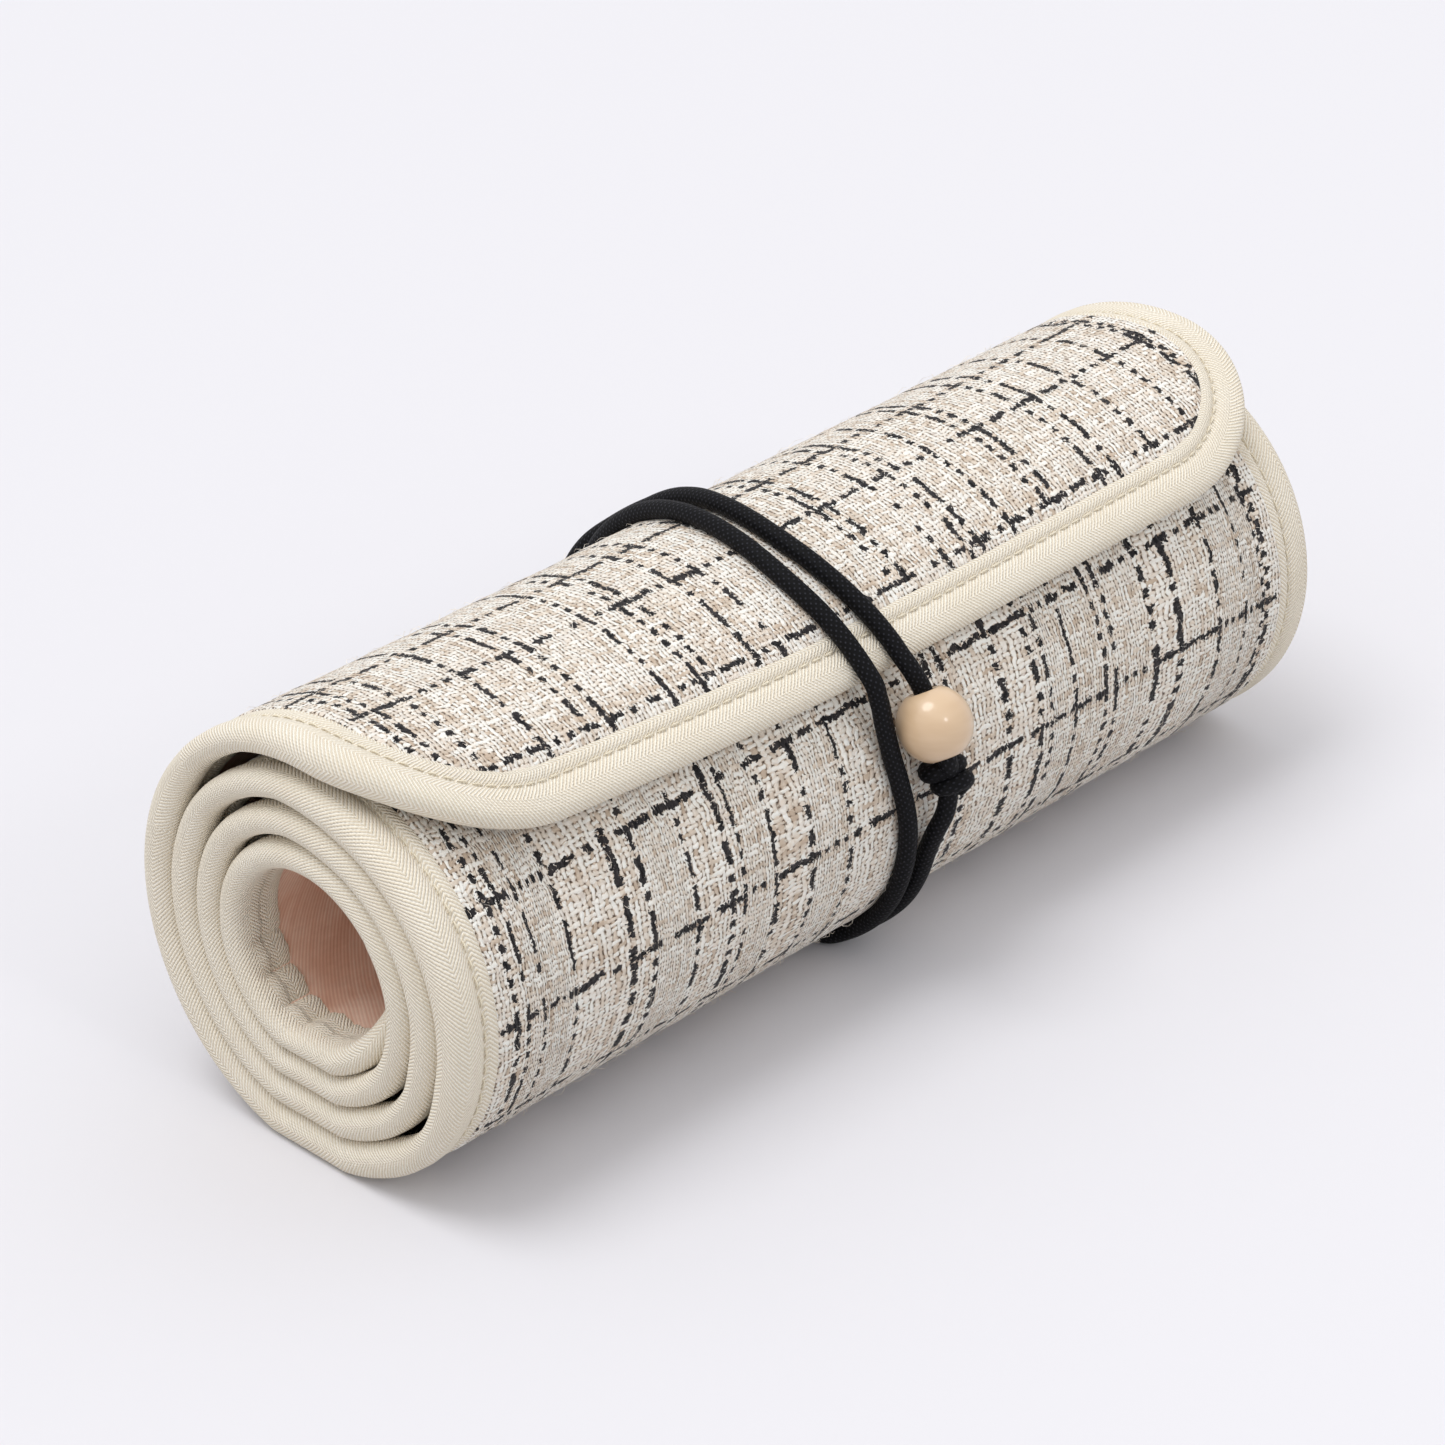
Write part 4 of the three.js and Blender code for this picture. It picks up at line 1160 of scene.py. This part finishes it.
def pocket(name, middle, end):
    tapes = [zip_tape(name, middle, side) for side in (-1, 1)]
    start = middle + ZIP_COIL_GAP / 2 + ZIP_TAPE_WIDTH + CLEARANCE
    inner_cloth(f"{name}_cloth", f"{name}_panel", "lining", SATIN, (start, end), PANEL_HALF,
                POCKET_TOP, POCKET_THICKNESS, on_it=tapes)


pocket("outer_pocket", *OUTER_POCKET)
pocket("inner_pocket", *INNER_POCKET)
inner_cloth("earring_cloth", "earring_panel", "suede", SUEDE, EARRING_PANEL, EARRING_HALF,
            EARRING_TOP, EARRING_THICKNESS)
hem = inner_cloth("slip_pocket_hem_tape", "slip_pocket_hem", "twill_tape", TWILL,
                  (SLIP_START, SLIP_START + HEM_WIDTH), HALF - TAPE_WIDTH - CLEARANCE,
                  POCKET_TOP + POCKET_THICKNESS + CLEARANCE, CLEARANCE)
inner_cloth("slip_pocket_cloth", "slip_pocket_panel", "lining", SATIN,
            (SLIP_START, SHEET_LENGTH - TWEED_INSET), PANEL_HALF, POCKET_TOP, POCKET_THICKNESS,
            to_end=True, on_it=[hem])
snaps = [frame["nodes"][f"ring_strap_snap_{part}"] for part in ("stud", "cap")]
inner_cloth("ring_strap_cloth", "ring_strap", "lining", SATIN,
            (STRAP_START, STRAP_START + STRAP_WIDTH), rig.box("ring_strap")[1][0] / MM, STRAP_TOP,
            STRAP_THICKNESS, on_it=snaps)

# The cord's two laps, from the knot down under the roll and round again: degrees from the front
# over the top, the place along the roll, and the height over where the cord would lie
CORD_ROUTE = [
    (6.6, 2, 3.2), (-1.5, 1.6, 2.7), (-9, 1.2, 1.2), (-17, 1.6, 0.2), (-28, 2.3, 0),
    (-42, 2.9, 0), (-60, 2.1, 0), (-75, 0.7, 0), (-90, -0.9, 0), (-105, -1.9, 0),
    (-120, -2.7, 0), (-135, -3.2, 0), (-150, -3.6, 0), (-165, -3.9, 0), (-180, -4.3, 0),
    (-195, -4.7, 0), (-210, -5.1, 0), (-225, -5.7, 0), (-240, -6.6, 0), (-248, -7.3, 0),
    (-255, -8.1, 0), (-262, -8.9, 0), (-270, -9.7, 0), (-278, -10.3, 0), (-287, -10.7, 0),
    (-295, -10.6, 0), (-303, -10, 0), (-312, -9.4, 0), (-319, -9, 0), (-322, -8.8, 0.1),
    (-326, -8.4, 4), (-333, -7.7, 2.3), (-342, -6.7, 0.7), (-353, -5.2, 0), (-364, -4, 0),
    (-376, -3.3, 0), (-390, -2.5, 0), (-405, -1.5, 0), (-420, -1.7, 0), (-435, -3.1, 0),
    (-450, -4.6, 0), (-465, -5.6, 0), (-480, -6.3, 0), (-495, -6.9, 0.1), (-508, -7.1, 1.2),
    (-520, -6.8, 2.7), (-532, -6.1, 3.6), (-544, -5.1, 3.8), (-556, -3.9, 3.8),
    (-567, -2.6, 3.2), (-579, -1.4, 1.2), (-592, -0.6, 0), (-602, -0.9, 0), (-612, -1.9, 0),
    (-622, -3.3, 0), (-632, -4.3, 0), (-642, -4.7, 0), (-652, -4.2, 0), (-662, -3.3, 0),
    (-671, -2.3, 0), (-678, -1.7, 0.1), (-682, -1.6, 0.6), (-686, -1.4, 5.5), (-691, -1, 5.6),
    (-697.5, -0.3, 4.7), (-706, 0.9, 4.5), (-711.8, 1.9, 3.3),
]
TIP_STEP = math.radians(4)
CORD_STAND = 0.2
BEAD_ROWS = slice(-4, -1)
BEAD_LEAN = Vector((0.06, 0.53, 0.85)).normalized()
BEAD_CUT = 5.2
LEAN_FADE = 6.5
ROUTE_STEPS = 12
CORD_STEP = 0.5
CORD_SIDES = 20
CORD_PASSES = 6
BRAID_ROUND = 9 * BRAID


def catmull_rom(points, per_span):
    """A smooth curve through points, evenly sampled between each pair."""
    points = np.asarray(points, float)
    padded = np.concatenate([2 * points[:1] - points[1:2], points, 2 * points[-1:] - points[-2:-1]])
    share = np.linspace(0, 1, per_span, endpoint=False)[:, None]
    a, b, c, d = [padded[k:k + len(points) - 1, None] for k in range(4)]
    curve = 0.5 * (2 * b + (c - a) * share + (2 * a - 5 * b + 4 * c - d) * share ** 2
                   + (3 * b - 3 * c + d - a) * share ** 3)
    return np.concatenate([*curve, points[-1:]])


def cord_points(route):
    """Where the cord's middle lies: on the outer turn, and flat where it passes below."""
    degrees, x, rise = np.asarray(route, float).T
    angle = np.radians(degrees)
    turn = ((angle - TIP_ANGLE) / FULL_TURN) % 1
    past_tip = np.minimum(FULL_TURN * (1 - turn) / TIP_STEP, 1)
    on_flap = TIP_RADIUS + lift_at(x, 0 * turn)
    on_turn = radius_at(turn) + lift_at(x, turn)
    resting = on_flap + (on_turn - on_flap) * past_tip + CORD_RADIUS + CORD_STAND
    level = AXIS_HEIGHT - FLOOR_GAP - CORD_RADIUS
    radius = pressed(resting, level, -np.sin(angle)) + np.maximum(rise, 0)
    return np.stack([x, AXIS_Y - radius * np.cos(angle), AXIS_HEIGHT + radius * np.sin(angle)], axis=-1)


def tube(name, path, run, radii, sides):
    """A braided tube along a path, whose rings don't twist."""
    ahead = unit(np.gradient(path, axis=0))
    side = np.zeros_like(path)
    side[0] = unit(np.cross(ahead[0], [0, 0, 1]))
    for k in range(1, len(path)):
        side[k] = unit(side[k - 1] - ahead[k] * (side[k - 1] @ ahead[k]))
    return strands(name, path[None], run[None], side, np.cross(ahead, side), radii, sides,
                   BRAID_ROUND, ELASTIC)


def across_axis(axis):
    """Two directions square to an axis and to each other."""
    side = unit(np.cross(axis, [1, 0, 0]))
    return side, np.cross(axis, side)


def bead_stand():
    """The bead's middle and the way its bore runs in the solids."""
    before, through, after = cord_points(CORD_ROUTE[BEAD_ROWS])
    return ((before + after) / 2 + through) / 2, unit(before - after)


def lean_over(path):
    """The cord follows the bead's lean inside its bore, and returns to its course beyond it."""
    centre, axis = bead_stand()
    near = np.linalg.norm(path - centre, axis=1) < BEAD_CUT + LEAN_FADE + 1
    last = np.arange(len(path)) > len(path) / 2
    along = (path - centre) @ axis
    inside = np.clip(along, -BEAD_CUT, BEAD_CUT)
    fade = 1 - smooth((np.abs(along) - BEAD_CUT) / LEAN_FADE)
    shift = np.where(near & last, inside * fade, 0)
    return path + shift[:, None] * (np.array(BEAD_LEAN) - axis)


def cord_piece():
    path = cord_points(catmull_rom(CORD_ROUTE, ROUTE_STEPS))
    along = run_along(path)
    run = np.linspace(0, along[-1], int(along[-1] / CORD_STEP) + 1)
    path = lean_over(np.stack([np.interp(run, along, part) for part in path.T], axis=-1))
    for _ in range(CORD_PASSES):
        path[1:-1] = (path[:-2] + 2 * path[1:-1] + path[2:]) / 4
    return tube("elastic_cord", path, run, CORD_RADIUS * np.ones(len(path)), CORD_SIDES)


dress(cord_piece(), "elastic", "tie", "tie_cord")

# The knot: the cord's tail wound twice, tighter below, where its two ends meet. The winding
# starts and ends behind it, against the roll
KNOT_WRAPS = 2
KNOT_PITCH = 2.7
KNOT_TOP_RADIUS = 2.3
KNOT_LOW_RADIUS = 1.8
KNOT_RISE = 0.1
KNOT_LEAN = Vector((-0.2, 0.72, 0.85)).normalized()
KNOT_STEPS = 120
KNOT_SIDES = 16
KNOT_TIP_STEPS = 6
KNOT_TIP = 0.3


def knot_piece():
    axis = np.array(KNOT_LEAN)
    centre = cord_points([CORD_ROUTE[0], CORD_ROUTE[-1]]).mean(axis=0) + KNOT_RISE * axis
    side, other = across_axis(axis)
    share = np.linspace(0, 1, KNOT_STEPS)[:, None]
    behind = math.atan2(other[1], side[1])
    angle = behind - FULL_TURN * KNOT_WRAPS * share
    radius = KNOT_LOW_RADIUS + (KNOT_TOP_RADIUS - KNOT_LOW_RADIUS) * smooth(2 * share - 0.5)
    rise = KNOT_WRAPS * KNOT_PITCH * (share - 0.5)
    path = centre + radius * (np.cos(angle) * side + np.sin(angle) * other) + rise * axis
    run = np.linspace(0, FULL_TURN * KNOT_TOP_RADIUS * KNOT_WRAPS, len(path))
    step = np.arange(KNOT_STEPS)
    taper = np.minimum(1, np.minimum(step, step[::-1]) / KNOT_TIP_STEPS + KNOT_TIP)
    return tube("elastic_knot", path, run, CORD_RADIUS * taper, KNOT_SIDES)


dress(knot_piece(), "elastic", "tie", "tie_knot")

# The bead: a round form cut flat across both ends, its bore just wide enough for the cord
BEAD_DIAMETER = 11.8
BEAD_MOUTH = 2.9
BORE = CORD_RADIUS + 0.05
BEAD_EASE = 0.25
BEAD_FULLNESS = 0.92
BEAD_STEPS = 40
BEAD_SIDES = 64
BEAD_SHARP = 50


def bead_piece():
    centre, _ = bead_stand()
    axis = np.array(BEAD_LEAN)
    radius = BEAD_DIAMETER / 2
    mouth_angle = math.asin((BEAD_MOUTH / radius) ** (1 / BEAD_FULLNESS))
    angle = np.linspace(mouth_angle, math.pi - mouth_angle, BEAD_STEPS)
    outside = np.stack([radius * np.sin(angle) ** BEAD_FULLNESS,
                        -BEAD_CUT / math.cos(mouth_angle) * np.cos(angle)], axis=-1)
    mouth = [(BEAD_MOUTH - BEAD_EASE, BEAD_CUT + BEAD_EASE / 2), (BORE + BEAD_EASE, BEAD_CUT),
             (BORE, BEAD_CUT - BEAD_EASE)]
    far_mouth = [(out, -along) for out, along in mouth[::-1]]
    profile = np.concatenate([outside, mouth, [(BORE, 0)], far_mouth])
    side, other = across_axis(axis)
    angles = np.linspace(0, FULL_TURN, BEAD_SIDES, endpoint=False)[:, None]
    spin = np.cos(angles) * side + np.sin(angles) * other
    rings = centre + spin[:, None] * profile[:, :1] + axis * profile[:, 1:]
    uv = np.stack(np.broadcast_arrays(angles * radius, profile[:, 1]), axis=-1)
    return lofts("wooden_bead", rings[None], uv, BEAD, BEAD_SHARP, closed=True)


dress(bead_piece(), "bead_wood", "bead", "tie_bead")

# The solids that stay get their own finish
zip_metal = [frame["nodes"][f"{place}_pocket_zip_{part}"]
             for place in ("outer", "inner") for part in ("slider", "pull")]
for solid in zip_metal + snaps:
    solid.data.materials.clear()
    solid.data.materials.append(GILT)

# The floor, the light and the camera
FLOOR_REACH = 3000
LENS = 126.6
SENSOR = 36
CLIP_START = 0.01
CAMERA_TURN = Euler((math.radians(59.4), 0, math.radians(-46.3)))
CAMERA_PLACE = Vector((-6.3, 0.1, 795))
KEY_FROM = Vector((-0.3, 0.2, 1.0))
KEY_STRENGTH = 1.1
KEY_ANGLE = math.radians(30)
WINDOW_PLACE = Vector((-0.1, -1.0, 0.8))
WINDOW_FROM = Vector((-0.1, -1.0, 0.77))
WINDOW_SIZE = 0.2
WINDOW_POWER = 1.0
SKY_LOW = 0.48
SKY_HIGH = 1.08
SKY_SEEN = rgb(242, 241, 245)


def make_floor():
    graph = Finish("studio_floor", roughness=1.0, specular=0.0)
    pale = graph.mix(graph.seen(), rgb(206, 204, 206), rgb(222, 221, 226))
    corners = FLOOR_REACH * np.array([(-1, -1, 0), (1, -1, 0), (1, 1, 0), (-1, 1, 0)])
    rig.stage(make_mesh("floor", corners, [(0, 1, 2, 3)], corners[:, :2], graph.dyed(pale)))


def make_camera():
    """The camera's place is given in its own directions, from the roll's middle."""
    camera = add_object("camera", bpy.data.cameras.new("camera"), lens=LENS, sensor_width=SENSOR,
                        clip_start=CLIP_START)
    middle = Matrix.Translation(Vector((0, AXIS_Y, AXIS_HEIGHT)) * MM)
    turned = CAMERA_TURN.to_matrix().to_4x4()
    camera.matrix_world = middle @ turned @ Matrix.Translation(CAMERA_PLACE * MM)
    scene.camera = camera


def add_lamp(name, kind, light_from, **settings):
    lamp = add_object(name, bpy.data.lights.new(name, kind), **settings)
    lamp.rotation_euler = light_from.to_track_quat("Z", "Y").to_euler()
    return lamp


def make_world():
    """A white sky, brighter above than along the horizon, which shows in the lit floor's colour."""
    scene.world = bpy.data.worlds.new("studio")
    graph = Graph(scene.world)
    where = graph.node("TexCoord").outputs["Generated"]
    height = graph.node("SeparateXYZ", {"Vector": where}).outputs["Z"]
    levels = {"Value": height, "To Min": SKY_LOW, "To Max": SKY_HIGH}
    level = graph.node("MapRange", levels).outputs["Result"]
    sky = graph.mix(graph.seen(), level, SKY_SEEN)
    graph.put(graph.tree.nodes["Background"].inputs["Color"], sky)


make_floor()
make_camera()
make_world()
add_lamp("key", "SUN", KEY_FROM, energy=KEY_STRENGTH, angle=KEY_ANGLE)
window = add_lamp("window", "AREA", WINDOW_FROM, shape="DISK", size=WINDOW_SIZE,
                  energy=WINDOW_POWER)
window.location = WINDOW_PLACE
scene.view_settings.view_transform = "Standard"

visual_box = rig.bounds()
with open("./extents.json", "w") as file:
    json.dump({"cad": [list(corner) for corner in cad_box],
               "visual": [list(corner) for corner in visual_box]}, file)
